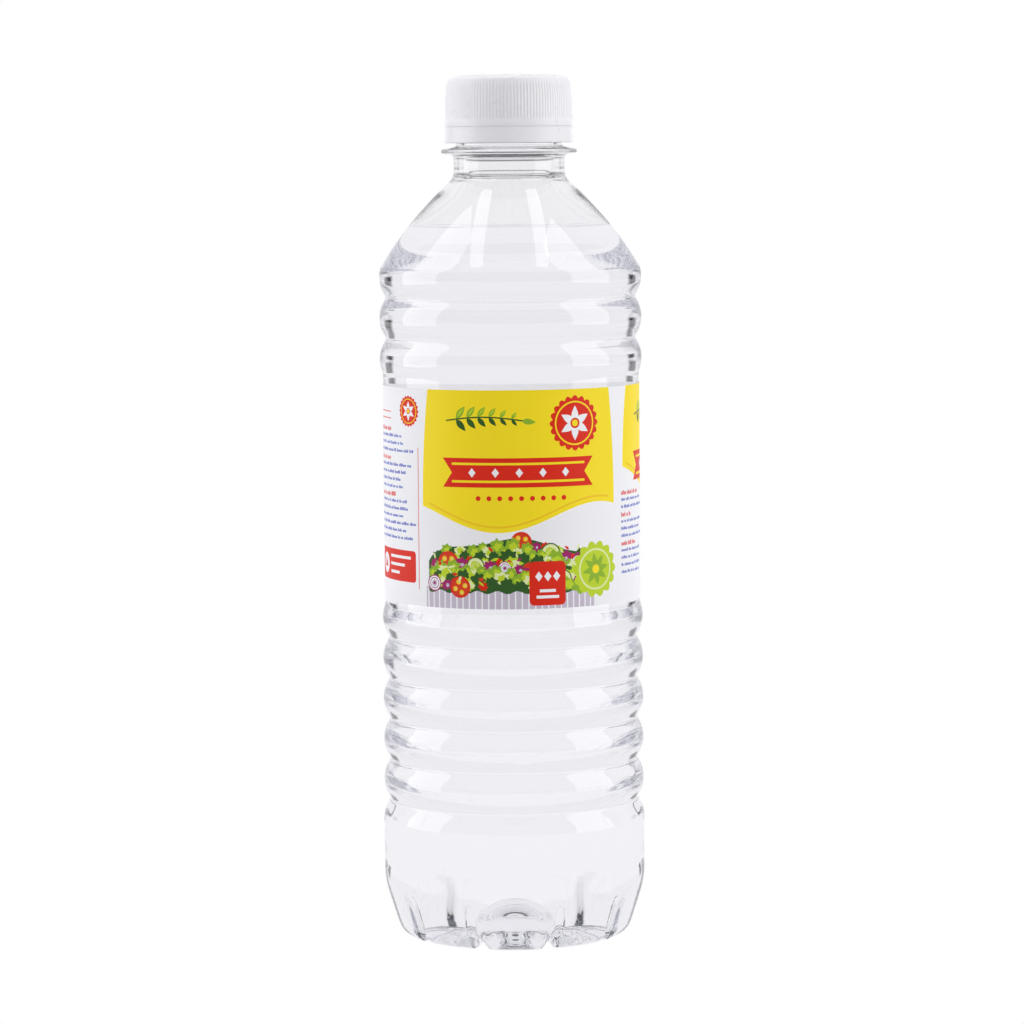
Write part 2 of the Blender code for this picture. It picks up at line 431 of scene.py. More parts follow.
@dataclass(frozen=True)
class ClearPet:
    """Polyethylene terephthalate, stretch-blown in a polished mould: glass-clear, glossy, faintly uneven."""

    name: str = "pet_clear_blown"
    ior: float = 1.57
    tint: str = "#FFFFFF"
    wave_size: float = 9.0 * MM
    wave_height: float = 0.02 * MM

    def material(self) -> bpy.types.Material:
        """Clear plastic whose slow waves bend its highlights a little.

        Returns:
            The material.
        """
        made, nodes = empty_material(self.name)
        shader = nodes.plastic(
            {
                "Base Color": self.tint,
                "Roughness": 0.0,
                "IOR": self.ior,
                "Transmission Weight": 1.0,
                "Normal": nodes.bump(nodes.noise(self.wave_size, 1.0), self.wave_height, 1.0),
            }
        )
        nodes.show(shader)
        return made


@dataclass(frozen=True)
class WhiteVinegar:
    """Water-clear spirit vinegar, a touch cool in a depth of six centimetres."""

    name: str
    ior: float
    tint: str = "#F8F8FA"
    pale: str = "#FAFAFB"
    drift_size: float = 60.0 * MM

    def material(self) -> bpy.types.Material:
        """A still liquid, whose tint drifts by a hair from place to place.

        Returns:
            The material.
        """
        made, nodes = empty_material(self.name)
        shader = nodes.plastic(
            {
                "Base Color": nodes.mix(nodes.noise(self.drift_size, 0.0), self.tint, self.pale),
                "Roughness": 0.0,
                "IOR": self.ior,
                "Transmission Weight": 1.0,
            }
        )
        nodes.show(shader)
        return made


@dataclass(frozen=True)
class WhitePolyethylene:
    """High-density polyethylene, injection-moulded: a soft, cool white, satin and a little translucent."""

    name: str = "hdpe_white_moulded"
    light: str = "#EFEEF1"
    dark: str = "#E9E8EB"
    ior: float = 1.51
    roughness: Span = (0.26, 0.30)
    glow_share: float = 0.35
    glow_depth: float = 0.9 * MM
    flow_size: float = 4.0 * MM
    grain_size: float = 0.3 * MM
    grain_height: float = 0.003 * MM

    def material(self) -> bpy.types.Material:
        """Satin white with faint flow marks and a fine grain, drawn three times coarser than real.

        Returns:
            The material.
        """
        made, nodes = empty_material(self.name)
        flow = nodes.noise(self.flow_size, 3.0)
        shader = nodes.plastic(
            {
                "Base Color": nodes.mix(flow, self.light, self.dark),
                "Roughness": nodes.mapped(flow, (0.0, 1.0), self.roughness),
                "IOR": self.ior,
                "Subsurface Weight": self.glow_share,
                "Subsurface Radius": (1.0, 1.0, 1.0),
                "Subsurface Scale": self.glow_depth,
                "Normal": nodes.bump(nodes.noise(self.grain_size, 1.0), self.grain_height, 0.5),
            }
        )
        nodes.show(shader)
        return made


class Ink(Enum):
    """The label's colours, in slot order. FILM is the bare white film, and BACK its inner face."""

    FILM = "#F4F4F7"
    YELLOW = "#FBE11A"
    GOLD = "#F3C51A"
    RED = "#DE2408"
    BLUE = "#3F55BE"
    LILAC = "#C9BECE"
    LIME = "#BFD628"
    LEAF = "#8DB52A"
    FOREST = "#2E5A1E"
    PALE = "#E3EDAE"
    TOMATO = "#D93A1C"
    PLUM = "#A21B66"
    BACK = "#FFFFFF"


SLOT_OF = {ink: number for number, ink in enumerate(Ink)}


@dataclass(frozen=True)
class PrintedFilm:
    """Oriented polypropylene film, gravure-printed: white, semi-gloss, with a fine print screen."""

    ink: Ink
    ior: float = 1.49
    gloss: float = 0.25
    roughness: Span = (0.42, 0.52)
    screen: float = 0.45 * MM
    # The ink's value in a dot's middle, and how much it gains towards its edge
    screen_value: tuple[float, float] = (0.975, 0.03)
    drift_size: float = 14.0 * MM
    slack: float = 0.03 * MM
    glow_depth: float = 1.0 * MM

    def material(self) -> bpy.types.Material:
        """One ink on the film. The screen is drawn three times coarser than real, so that it shows at all.

        The inner face takes in light to a depth greater than the film's, so that some of the light outside
        reaches the vinegar through it, as it does through thin white film.

        Returns:
            The material.
        """
        made, nodes = empty_material(f"bopp_film_{self.ink.name.lower()}")
        inputs = {"Vector": nodes.place(), "Scale": 1 / self.screen, "Randomness": 0.25}
        dots = nodes.add("TexVoronoi", inputs).outputs["Distance"]
        drift = nodes.noise(self.drift_size, 2.0)
        value = nodes.math("MULTIPLY_ADD", dots, self.screen_value[1], self.screen_value[0])
        colour = nodes.add("HueSaturation", {"Value": value, "Color": self.ink.value}).outputs[0]
        shader = nodes.plastic(
            {
                "Base Color": colour,
                "Roughness": nodes.mapped(drift, (0.0, 1.0), self.roughness),
                "IOR": self.ior,
                "Specular IOR Level": self.gloss,
                "Subsurface Weight": 1.0 if self.ink is Ink.BACK else 0.0,
                "Subsurface Radius": (1.0, 1.0, 1.0),
                "Subsurface Scale": self.glow_depth,
                "Normal": nodes.bump(drift, self.slack, 0.6),
            }
        )
        nodes.show(shader)
        return made


# How bright the white room and its floor show through the bottle, where they are all but burnt out
ROOM_THROUGH = "#F2F2F5"
FLOOR_THROUGH = "#F8F8FB"


@dataclass(frozen=True)
class StudioPaper:
    """Matt white backdrop paper, lit so that it burns out to white."""

    name: str = "backdrop_paper_white"
    glow: float = 0.30
    seen: str = "#FFFFFF"
    shades: tuple[str, str] = ("#A8A8A8", "#ACACAC")
    fibre: float = 1.5 * MM

    def material(self) -> bpy.types.Material:
        """Burnt out to white from above, and see-through from below for views of the underside.

        Returns:
            The material.
        """
        made, nodes = empty_material(self.name)
        paper = nodes.plastic(
            {
                "Base Color": nodes.mix(nodes.noise(self.fibre, 2.0), *self.shades),
                "Roughness": 0.9,
                "Specular IOR Level": 0.1,
                "Emission Color": "#FFFFFF",
                "Emission Strength": self.glow,
            }
        )
        ray = nodes.add("LightPath").outputs
        viewed = ray["Is Camera Ray"]
        for kind in ("Is Transmission Ray", "Is Glossy Ray"):
            viewed = nodes.math("MAXIMUM", ray[kind], viewed)
        burnt = nodes.mix(ray["Is Camera Ray"], FLOOR_THROUGH, self.seen)
        bright = nodes.add("Emission", {"Color": burnt, "Strength": 1.0}).outputs[0]
        sweep = nodes.add("MixShader", {0: viewed, 1: paper, 2: bright}).outputs[0]
        below = nodes.add("NewGeometry").outputs["Backfacing"]
        clear = nodes.add("BsdfTransparent").outputs[0]
        nodes.show(nodes.add("MixShader", {0: below, 1: sweep, 2: clear}).outputs[0])
        return made


# The bottle's form


@dataclass
class BottleForm:
    """The bottle's outer surface, which the wall and the vinegar are both set in from."""

    # Radii
    body_r: float = 32.0 * MM
    ridge_r: float = 32.1 * MM
    panel_r: float = 31.1 * MM
    panel_edge_r: float = 31.25 * MM
    shoulder_end_r: float = 31.3 * MM
    neck_r: float = 13.5 * MM
    support_ring_r: float = 16.5 * MM
    bead_r: float = 14.0 * MM
    collar_r: float = 12.9 * MM
    finish_r: float = 12.5 * MM

    # Heights
    lip_z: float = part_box("bottle")[1][2]
    bead_z: float = 196.3 * MM
    bead_bottom_z: float = 195.4 * MM
    collar_z: float = 194.8 * MM
    support_z: float = 191.65 * MM
    support_rim: float = 1.0 * MM
    neck_foot_z: float = 185.3 * MM
    neck_fold: float = 1.5 * MM
    shoulder_end_z: float = 164.2 * MM
    first_crest_z: float = 161.5 * MM
    panel_top_z: float = 136.2 * MM
    panel_bottom_z: float = 82.5 * MM
    first_lower_crest_z: float = 78.5 * MM

    # Rings
    upper_rings: int = 3
    lower_rings: int = 5
    ring_pitch: float = 10.0 * MM
    ring_arc_r: float = 8.0 * MM
    shoulder_arc_r: float = 87.0 * MM

    # Heel, feet and push-up
    heel_corner_z: float = 13.4 * MM
    heel_slope: float = math.radians(17.7)
    heel_arc_r: float = 20.0 * MM
    heel_middle_z: float = 6.5 * MM
    foot_arc_r: float = 4.0 * MM
    foot_inner_r: float = 23.6 * MM
    push_up_foot: Point = (11.0 * MM, 3.2 * MM)
    push_up_r: float = 8.4 * MM
    push_up_z: float = 10.2 * MM
    sectors: int = 10
    groove_top_z: float = 12.4 * MM
    groove_end_r: float = 8.6 * MM
    groove_depth: float = 1.8 * MM
    groove_half_width: float = 2.6 * MM
    groove_opening: float = 2.2 * MM
    groove_narrowing: float = 0.3
    groove_narrowing_reach: float = 26.0 * MM
    groove_fade: float = 6.0 * MM
    # Each a share of the depth, how far down the groove it starts and how long it takes
    groove_deepening: tuple[Step, ...] = ((0.42, 0.0, 2.4 * MM), (0.58, 7.5 * MM, 5.0 * MM))

    # How soft the mould's corners come out
    neck_softness: float = 0.13 * MM
    body_softness: float = 0.52 * MM
    base_softness: float = 0.75 * MM

    # How finely the surface is drawn: the outline's longest steps and most turn, and the columns' degrees
    turn: float = math.radians(9.6)
    neck_step: float = 0.8 * MM
    body_step: float = 3.0 * MM
    beside_groove: tuple[float, ...] = (0.0, 1.4, 2.8, 4.2, 5.8, 8.0, 10.5, 13.0, 15.5)
    beside_parting: tuple[float, ...] = (-0.7, -0.35, 0.0, 0.35, 0.7)

    # Parting line
    parting_angle: float = FRONT + math.radians(2.6)
    parting_height: float = 0.03 * MM
    sway_height: float = 0.022 * MM

    def ring(self, crest_z: float, above: float, below: float, crest_r: float | None = None) -> list[Point]:
        """One ring as an arc, from a height above its crest to one below it.

        Args:
            crest_z: The crest's height.
            above: How far the arc reaches above the crest.
            below: How far it reaches below.
            crest_r: The crest's radius, where it isn't the body's.

        Returns:
            The arc's points, from the top down.
        """
        crest = crest_r or self.body_r
        centre_r = crest - self.ring_arc_r
        first = math.asin(above / self.ring_arc_r)
        last = -math.asin(below / self.ring_arc_r)
        steps = 40
        points = []
        for i in range(steps + 1):
            a = first + (last - first) * i / steps
            r = centre_r + self.ring_arc_r * math.cos(a)
            points.append((r, crest_z + self.ring_arc_r * math.sin(a)))
        return points

    def neck_line(self) -> list[Point]:
        """The finish, tamper bead, support ring and neck, from the lip down to the foot of the neck.

        Returns:
            The line's points, from the top down.
        """
        rim_top = self.support_z + self.support_rim / 2
        rim_bottom = self.support_z - self.support_rim / 2
        return [
            (self.finish_r, self.lip_z),
            (self.finish_r, self.bead_z + 1.3 * MM),
            (self.bead_r, self.bead_z),
            (self.bead_r, self.bead_bottom_z),
            (self.collar_r, self.collar_z),
            (self.collar_r, rim_top + 0.75 * MM),
            (self.support_ring_r - 0.5 * MM, rim_top + 0.1 * MM),
            (self.support_ring_r, rim_top - 0.15 * MM),
            (self.support_ring_r, rim_bottom + 0.15 * MM),
            (self.support_ring_r - 0.5 * MM, rim_bottom),
            (self.neck_r + 0.5 * MM, rim_bottom - 0.25 * MM),
            (self.neck_r, rim_bottom - 0.75 * MM),
            (self.neck_r, self.neck_foot_z + self.neck_fold),
        ]

    def body_line(self) -> list[Point]:
        """The shoulder, the rings and the straight panel, down to the ridge over the heel.

        Returns:
            The line's points, from the top down.
        """
        half = self.ring_pitch / 2
        sunk = self.body_r - self.panel_edge_r
        to_edge = math.sqrt(self.ring_arc_r**2 - (self.ring_arc_r - sunk) ** 2)
        foot = (self.neck_r, self.neck_foot_z)
        shoulder = arc(foot, (self.shoulder_end_r, self.shoulder_end_z), self.shoulder_arc_r)
        past_fold = [p for p in shoulder if math.dist(p, foot) > self.neck_fold]
        start = (self.neck_r, self.neck_foot_z + self.neck_fold)
        fold = []
        for i in range(9):
            s = i / 9
            parts = ((1 - s) ** 2, 2 * s * (1 - s), s**2)
            corners = (start, foot, past_fold[0])
            fold.append(tuple(sum(k * p[axis] for k, p in zip(parts, corners)) for axis in (0, 1)))
        line = fold + past_fold
        crests = [self.first_crest_z - i * self.ring_pitch for i in range(self.upper_rings)]
        for i, crest_z in enumerate(crests):
            last = i == len(crests) - 1
            line += self.ring(crest_z, half if i else 2.0 * MM, to_edge if last else half)
        line += [
            (self.panel_edge_r, self.panel_top_z),
            (self.panel_r, self.panel_top_z - 0.5 * MM),
            (self.panel_r, self.panel_bottom_z + 0.5 * MM),
            (self.panel_edge_r, self.panel_bottom_z),
        ]
        crests = [self.first_lower_crest_z - i * self.ring_pitch for i in range(self.lower_rings)]
        for i, crest_z in enumerate(crests):
            line += self.ring(crest_z, half if i else to_edge, half, self.body_r - 0.08 * MM)
        ridge_z = crests[-1] - self.ring_pitch
        return line + self.ring(ridge_z, half, 1.5 * MM, self.ridge_r)

    def heel_corner_r(self) -> float:
        """Where the heel's slope would meet the floor."""
        return self.body_r - self.heel_corner_z * math.tan(self.heel_slope)

    def on_heel(self, z: float) -> Point:
        """A point of the heel's slope."""
        return (self.heel_corner_r() + z * math.tan(self.heel_slope), z)

    def heel_line(self) -> list[Point]:
        """The plain wall under the ridge and the upper half of the sloping heel.

        Returns:
            The line's points, from the top down.
        """
        reach = self.heel_arc_r * math.tan(self.heel_slope / 2)
        start = (self.body_r, self.heel_corner_z + reach)
        end = self.on_heel(self.heel_corner_z - reach * math.cos(self.heel_slope))
        return arc(start, end, self.heel_arc_r) + [self.on_heel(self.heel_middle_z)]

    def base_line(self) -> list[Point]:
        """The lower heel, the feet's round edge, the ring that they stand on and the push-up.

        Returns:
            The line's points, from the top down.
        """
        foot_reach = self.foot_arc_r * math.tan((math.pi / 2 - self.heel_slope) / 2)
        start = self.on_heel(foot_reach * math.cos(self.heel_slope))
        end = (self.heel_corner_r() - foot_reach, 0.0)
        line = [self.on_heel(self.heel_middle_z)] + arc(start, end, self.foot_arc_r)
        line += [(self.foot_inner_r, 0.0), self.push_up_foot]
        foot_z = self.push_up_foot[1] + 0.6 * MM
        for step in range(1, 25):
            a = math.radians(88) * step / 24
            line.append((self.push_up_r * math.cos(a), foot_z + (self.push_up_z - foot_z) * math.sin(a)))
        return line

    def outline(self) -> np.ndarray:
        """The whole outer line, thinned to what its curves need.

        Returns:
            Radii and heights, from the top down.
        """
        neck = softened(self.neck_line(), self.neck_softness)
        body = softened(self.body_line() + self.heel_line(), self.body_softness)
        base = softened(self.base_line(), self.base_softness)
        low = base[:, 1].min()
        base[:, 1] -= low * np.clip(1 - base[:, 1] / base[0, 1], 0.0, 1.0)
        whole = softened(np.vstack([neck, body[1:], base[1:]]), self.neck_softness)
        foot = int(np.argmax(whole[:, 1] < self.neck_foot_z - 1.0 * MM))
        above = thinned(whole[: foot + 1], self.turn, self.neck_step)
        below = thinned(whole[foot:], self.turn, self.body_step)
        return np.vstack([above[:-1], below])

    def columns(self) -> np.ndarray:
        """The columns' angles, closer at the ten grooves and at the parting line.

        Returns:
            The angles from +X, in radians.
        """
        sector = 360 / self.sectors
        offsets = sorted({-b for b in self.beside_groove} | set(self.beside_groove) | {sector / 2})
        angles = [k * sector + o for k in range(self.sectors) for o in offsets]
        for line_angle in (self.parting_angle, self.parting_angle + math.pi):
            angles += [math.degrees(line_angle) + o for o in self.beside_parting]
        return np.radians(np.unique(np.round(np.mod(angles, 360.0), 3)))

    def grooves(self, line: np.ndarray, angles: np.ndarray) -> np.ndarray:
        """How deep the grooves between the feet are sunk at each point of the grid.

        Args:
            line: Radii and heights, from the top down.
            angles: The columns' angles.

        Returns:
            The depths, by row and column.
        """
        way = along(line)
        low = line[:, 1] < self.groove_top_z
        from_start = way - way[np.argmax(low)]
        end = way[np.argmax(low & (line[:, 0] < self.groove_end_r))]
        opened = np.clip(from_start / self.groove_opening, 0, 1)
        rounded = np.sqrt(np.clip(1 - (1 - opened) ** 2, 0, 1))
        deepen = sum(share * smooth((from_start - at) / reach) for share, at, reach in self.groove_deepening)
        fade = smooth((end - way) / self.groove_fade)
        depth = self.groove_depth * deepen * fade * (from_start > 0)
        narrow = 1 - self.groove_narrowing * smooth(from_start / self.groove_narrowing_reach)
        half_width = np.maximum(self.groove_half_width * rounded * narrow, 0.1 * MM)
        sector = math.tau / self.sectors
        from_groove = np.abs(angles - np.round(angles / sector) * sector)
        across = line[:, 0][:, None] * from_groove[None, :] / half_width[:, None]
        return depth[:, None] * np.where(across < 1, np.cos(np.clip(across, 0, 1) * math.pi / 2) ** 2, 0.0)

    def dents(self, line: np.ndarray, angles: np.ndarray) -> np.ndarray:
        """Small dents that handling and the mould have left, at each point of the grid.

        Args:
            line: Radii and heights, from the top down.
            angles: The columns' angles.

        Returns:
            The depths, by row and column.
        """
        # Each with its degrees from the front, then its height, depth, half width and half height in mm
        marks = (
            (-64.5, 67.4, 0.22, 2.2, 1.7),
            (-67.0, 42.6, 0.20, 1.9, 1.6),
            (66.0, 42.6, 0.20, 1.9, 1.6),
            (-70.0, 32.0, 0.14, 1.6, 1.7),
            (70.0, 32.0, 0.14, 1.6, 1.7),
            (3.4, 47.3, 0.12, 1.0, 0.8),
            (3.0, 26.4, 0.10, 1.1, 0.7),
        )
        total = np.zeros((len(line), len(angles)))
        for from_front, z, depth, wide, high in marks:
            turn = np.angle(np.exp(1j * (angles - FRONT - math.radians(from_front))))
            across = line[:, 0][:, None] * turn[None, :] / (wide * MM)
            up = (line[:, 1][:, None] - z * MM) / (high * MM)
            total += depth * MM * np.exp(-(across**2) - up**2)
        return total

    def parting(self, line: np.ndarray, angles: np.ndarray) -> np.ndarray:
        """The fine ridge where the two halves of the mould met, at each point of the grid.

        Args:
            line: Radii and heights, from the top down.
            angles: The columns' angles.

        Returns:
            The heights, by row and column.
        """
        turn = np.abs(np.sin(angles - self.parting_angle))
        across = np.clip(1 - turn / math.sin(math.radians(0.7)), 0, 1)
        below_shoulder = smooth((self.shoulder_end_z - line[:, 1]) / (3 * MM))
        above_heel = smooth((line[:, 1] - self.heel_corner_z) / (2 * MM))
        return self.parting_height * across[None, :] * (below_shoulder * above_heel)[:, None]

    def sway(self, line: np.ndarray, angles: np.ndarray) -> np.ndarray:
        """The slow unevenness of a blown wall, at each point of the grid.

        Args:
            line: Radii and heights, from the top down.
            angles: The columns' angles.

        Returns:
            The heights, by row and column.
        """
        z = line[:, 1][:, None]
        a = angles[None, :]
        waves = np.sin(2 * a + 0.6 + z / (31 * MM)) + 0.7 * np.sin(3 * a - 1.1 - z / (17 * MM))
        waves += 0.5 * np.sin(5 * a + 2.0 + z / (23 * MM)) + 0.35 * np.sin(8 * a + z / (9 * MM))
        body = smooth((self.neck_foot_z - z) / (8 * MM)) * smooth((z - 8 * MM) / (8 * MM))
        # Their sum is at most 2.55, so that the wall only ever sways inwards
        return self.sway_height * (waves - 2.55) * body

    def surface(self) -> tuple[np.ndarray, np.ndarray, np.ndarray]:
        """Builds the outer surface.

        Returns:
            The outline, the grid of its points, and the grid's unit normals.
        """
        line = self.outline()
        angles = self.columns()
        normals = normals_of(line)
        inwards = self.grooves(line, angles) + self.dents(line, angles) - self.sway(line, angles)
        inwards -= self.parting(line, angles)
        r = line[:, 0][:, None] - inwards * normals[:, 0][:, None]
        z = line[:, 1][:, None] - inwards * normals[:, 1][:, None]
        grid = np.dstack([r * np.cos(angles), r * np.sin(angles), z])
        return line, grid, grid_normals(grid)


@dataclass
class Wall:
    """The bottle's wall and the vinegar's level in it."""

    form: BottleForm = field(default_factory=BottleForm)
    body: float = 0.36 * MM
    base: float = 0.42 * MM
    base_reach: float = 34.0 * MM
    bore_r: float = 10.9 * MM
    # How much thicker the shoulder's top is, from which height and over what reach
    thickening: tuple[Step, ...] = ((0.4 * MM, 172.0 * MM, 12.0 * MM), (0.25 * MM, 181.0 * MM, 4.0 * MM))
    level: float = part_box("vinegar")[1][2]
    meniscus: float = 0.9 * MM

    def __post_init__(self) -> None:
        """Works out the outer surface and the rows that matter."""
        self.line, self.outer, self.normals = self.form.surface()
        heights = self.line[:, 1]
        self.first_body_row = int(np.argmax(heights < self.form.neck_foot_z - 1.2 * MM))
        self.contact_row = int(np.argmax(heights < self.level + self.meniscus))

    def thickness(self) -> np.ndarray:
        """The wall's thickness at each row, thicker in the shoulder's top and in the base.

        Returns:
            One thickness for each row.
        """
        way = along(self.line)
        base = smooth(1 - (way[-1] - way) / self.base_reach)
        top = sum(more * smooth((self.line[:, 1] - z) / reach) for more, z, reach in self.thickening)
        return self.body + (self.base - self.body) * base + top

    def inset(self, share: float) -> np.ndarray:
        """The outer surface moved into the wall by a share of its thickness.

        Args:
            share: The share of the thickness.

        Returns:
            The grid's points. Those that would pass the axis are drawn in to it.
        """
        moved = self.outer - share * self.thickness()[:, None, None] * self.normals
        radius = np.hypot(moved[..., 0], moved[..., 1])
        outer_radius = np.hypot(self.outer[..., 0], self.outer[..., 1])
        flipped = (moved[..., 0] * self.outer[..., 0] + moved[..., 1] * self.outer[..., 1]) < 0
        scale = np.where(flipped | (radius > outer_radius + self.base), 0.2, 1.0)
        moved[..., :2] *= scale[..., None]
        return moved


@dataclass
class PetBottle:
    """The blown bottle: its outer surface, its thick-walled neck and the inner face of its wall."""

    wall: Wall
    # How much wider the bore has grown, at which heights
    bore_growth: tuple[Point, ...] = (
        (0.1 * MM, 192.2 * MM),
        (0.3 * MM, 189.2 * MM),
        (0.5 * MM, 187.1 * MM),
        (1.1 * MM, 185.8 * MM),
    )

    def bore(self, angles: np.ndarray) -> np.ndarray:
        """The inside of the neck, from the lip down to where the wall grows thin.

        Args:
            angles: The columns' angles.

        Returns:
            The grid's points.
        """
        row = self.wall.first_body_row
        start = self.wall.inset(1.0)[row]
        foot_r = float(np.hypot(start[:, 0], start[:, 1]).mean())
        foot_z = float(start[:, 2].mean())
        line = [(self.wall.bore_r, self.wall.form.lip_z)]
        line += [(self.wall.bore_r + more, z) for more, z in self.bore_growth]
        line.append((foot_r, foot_z))
        drawn = thinned(softened(line, 0.5 * MM), math.radians(10), 2.0 * MM)
        return turned_grid(drawn[:-1], angles)

    def build(self) -> bpy.types.Object:
        """Builds the closed shell. Its second slot is the part of the inner face that the vinegar wets.

        Returns:
            The new object, in the scene.
        """
        shell = Shell()
        outer = shell.add_points(self.wall.outer)
        shell.skin(outer)
        line = self.wall.line
        shell.cover(outer[-1], float(line[-1, 1]))
        first, contact = self.wall.first_body_row, self.wall.contact_row
        angles = self.wall.form.columns()
        inner_body = self.wall.inset(1.0)[first:]
        inner = shell.add_points(np.concatenate([self.bore(angles), inner_body]))
        contact += len(inner) - len(line)
        for i in range(len(inner) - 1):
            shell.band(inner[i + 1], inner[i], int(i >= contact))
        top = float(line[-1, 1] + self.wall.thickness()[-1])
        shell.cover(inner[-1], top, 1, outward=False)
        shell.band(inner[0], outer[0])
        dry = ClearPet()
        wet = ClearPet(name="pet_clear_wetted", ior=round(dry.ior / VINEGAR_IOR, 3), wave_height=0.0)
        return shell.build("pet_bottle", [dry.material(), wet.material()])


@dataclass
class VinegarFill:
    """The vinegar, which reaches half way into the wall so that no air shows between the two."""

    wall: Wall
    wall_share: float = 0.5
    climb: float = 1.3 * MM
    # How far from the wall the top surface's rows lie, in mm
    rows_from_wall: tuple[float, ...] = (0.25, 0.5, 0.8, 1.2, 1.7, 2.4, 3.4, 5.0, 8.0, 13.0, 18.0, 22.0)

    def surface_rows(self, edge: np.ndarray) -> np.ndarray:
        """The top surface, from the wall in to the axis, with the climb of its rim.

        Args:
            edge: The points where the liquid meets the wall.

        Returns:
            The rows' points.
        """
        radius = np.hypot(edge[:, 0], edge[:, 1])
        rim = float(edge[:, 2].mean()) - self.wall.level
        rows = []
        for distance in self.rows_from_wall:
            inwards = distance * MM
            share = (radius - inwards) / radius
            z = self.wall.level + rim * math.exp(-max(inwards - 0.25 * MM, 0) / self.climb)
            rows.append(np.column_stack([edge[:, 0] * share, edge[:, 1] * share, np.full(len(edge), z)]))
        return np.array(rows)

    def build(self) -> bpy.types.Object:
        """Builds the closed solid. Its second slot is the surface under the air.

        Returns:
            The new object, in the scene.
        """
        shell = Shell()
        sides = self.wall.inset(self.wall_share)[self.wall.contact_row :]
        side = shell.add_points(sides)
        shell.skin(side)
        pole = float(self.wall.line[-1, 1] + self.wall_share * self.wall.thickness()[-1])
        shell.cover(side[-1], pole)
        top = shell.add_points(self.surface_rows(sides[0]))
        rows = [side[0], *top]
        for outer, inner in zip(rows[:-1], rows[1:]):
            shell.band(inner, outer, 1)
        shell.cover(rows[-1], self.wall.level, 1, outward=False)
        finishes = [WhiteVinegar("vinegar_depth", 1.0), WhiteVinegar("vinegar_surface", VINEGAR_IOR)]
        return shell.build("vinegar_fill", [finish.material() for finish in finishes])


# The closure


@dataclass
class ScrewCap:
    """The cap: a slightly domed crown, a grip of fine ribs and a plain skirt."""

    top_z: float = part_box("cap")[1][2]
    skirt_bottom_z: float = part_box("cap")[0][2]
    crown: Point = (12.6 * MM, 209.95 * MM)
    edge: Point = (14.6 * MM, 209.2 * MM)
    grip_top: Point = (15.08 * MM, 207.7 * MM)
    grip_break: Point = (15.36 * MM, 204.3 * MM)
    grip_bottom: Point = (15.38 * MM, 199.5 * MM)
    skirt_top: Point = (15.52 * MM, 198.9 * MM)
    cavity_r: float = 14.2 * MM
    cavity_top_z: float = 208.5 * MM
    ribs: int = 120
    rib_depth: float = 0.14 * MM
    columns_per_rib: int = 6
    softness: float = 0.22 * MM

    def outline(self) -> np.ndarray:
        """The outer line from the crown's centre down to the skirt's rim.

        Returns:
            Radii and heights, from the top down.
        """
        line = [(0.4 * MM, self.top_z), (7.0 * MM, self.top_z - 0.12 * MM), self.crown, self.edge]
        line += [self.grip_top, self.grip_break, self.grip_bottom, self.skirt_top]
        line += [(self.skirt_top[0] + 0.03 * MM, self.skirt_bottom_z)]
        drawn = thinned(softened(line, self.softness), math.radians(9), 0.75 * MM)
        above_rim = drawn[-1] + (0.0, 0.06 * MM)
        return np.vstack([drawn[:-1], above_rim, drawn[-1]])

    def build(self) -> bpy.types.Object:
        """Builds the cap as one closed shell, hollow below.

        Returns:
            The new object, in the scene.
        """
        line = self.outline()
        angles = np.arange(self.ribs * self.columns_per_rib) * math.tau / (self.ribs * self.columns_per_rib)
        start = smooth((self.edge[1] - 0.1 * MM - line[:, 1]) / (1.0 * MM))
        end = smooth((line[:, 1] - self.grip_bottom[1] + 0.2 * MM) / (0.5 * MM))
        sunk = 1 - np.abs(np.cos(angles * self.ribs / 2)) ** 0.8
        depth = self.rib_depth * (start * end)[:, None] * sunk[None, :]
        r = line[:, 0][:, None] - depth
        z = np.broadcast_to(line[:, 1][:, None], r.shape)
        outer_grid = np.dstack([r * np.cos(angles), r * np.sin(angles), z])
        inside = [
            (self.skirt_top[0] - 0.25 * MM, self.skirt_bottom_z),
            (self.cavity_r + 0.35 * MM, self.skirt_bottom_z + 0.25 * MM),
            (self.cavity_r, self.skirt_bottom_z + 1.2 * MM),
            (self.cavity_r, self.cavity_top_z - 0.4 * MM),
            (self.cavity_r - 0.4 * MM, self.cavity_top_z),
            (1.0 * MM, self.cavity_top_z),
        ]
        shell = Shell()
        outer = shell.add_points(outer_grid)
        inner = shell.add_points(turned_grid(np.array(inside), angles))
        shell.skin(outer)
        shell.band(outer[-1], inner[0])
        for below, above in zip(inner[:-1], inner[1:]):
            shell.band(below, above)
        shell.cover(outer[0], self.top_z, outward=False)
        shell.cover(inner[-1], self.cavity_top_z)
        return shell.build("screw_cap", [WhitePolyethylene().material()])


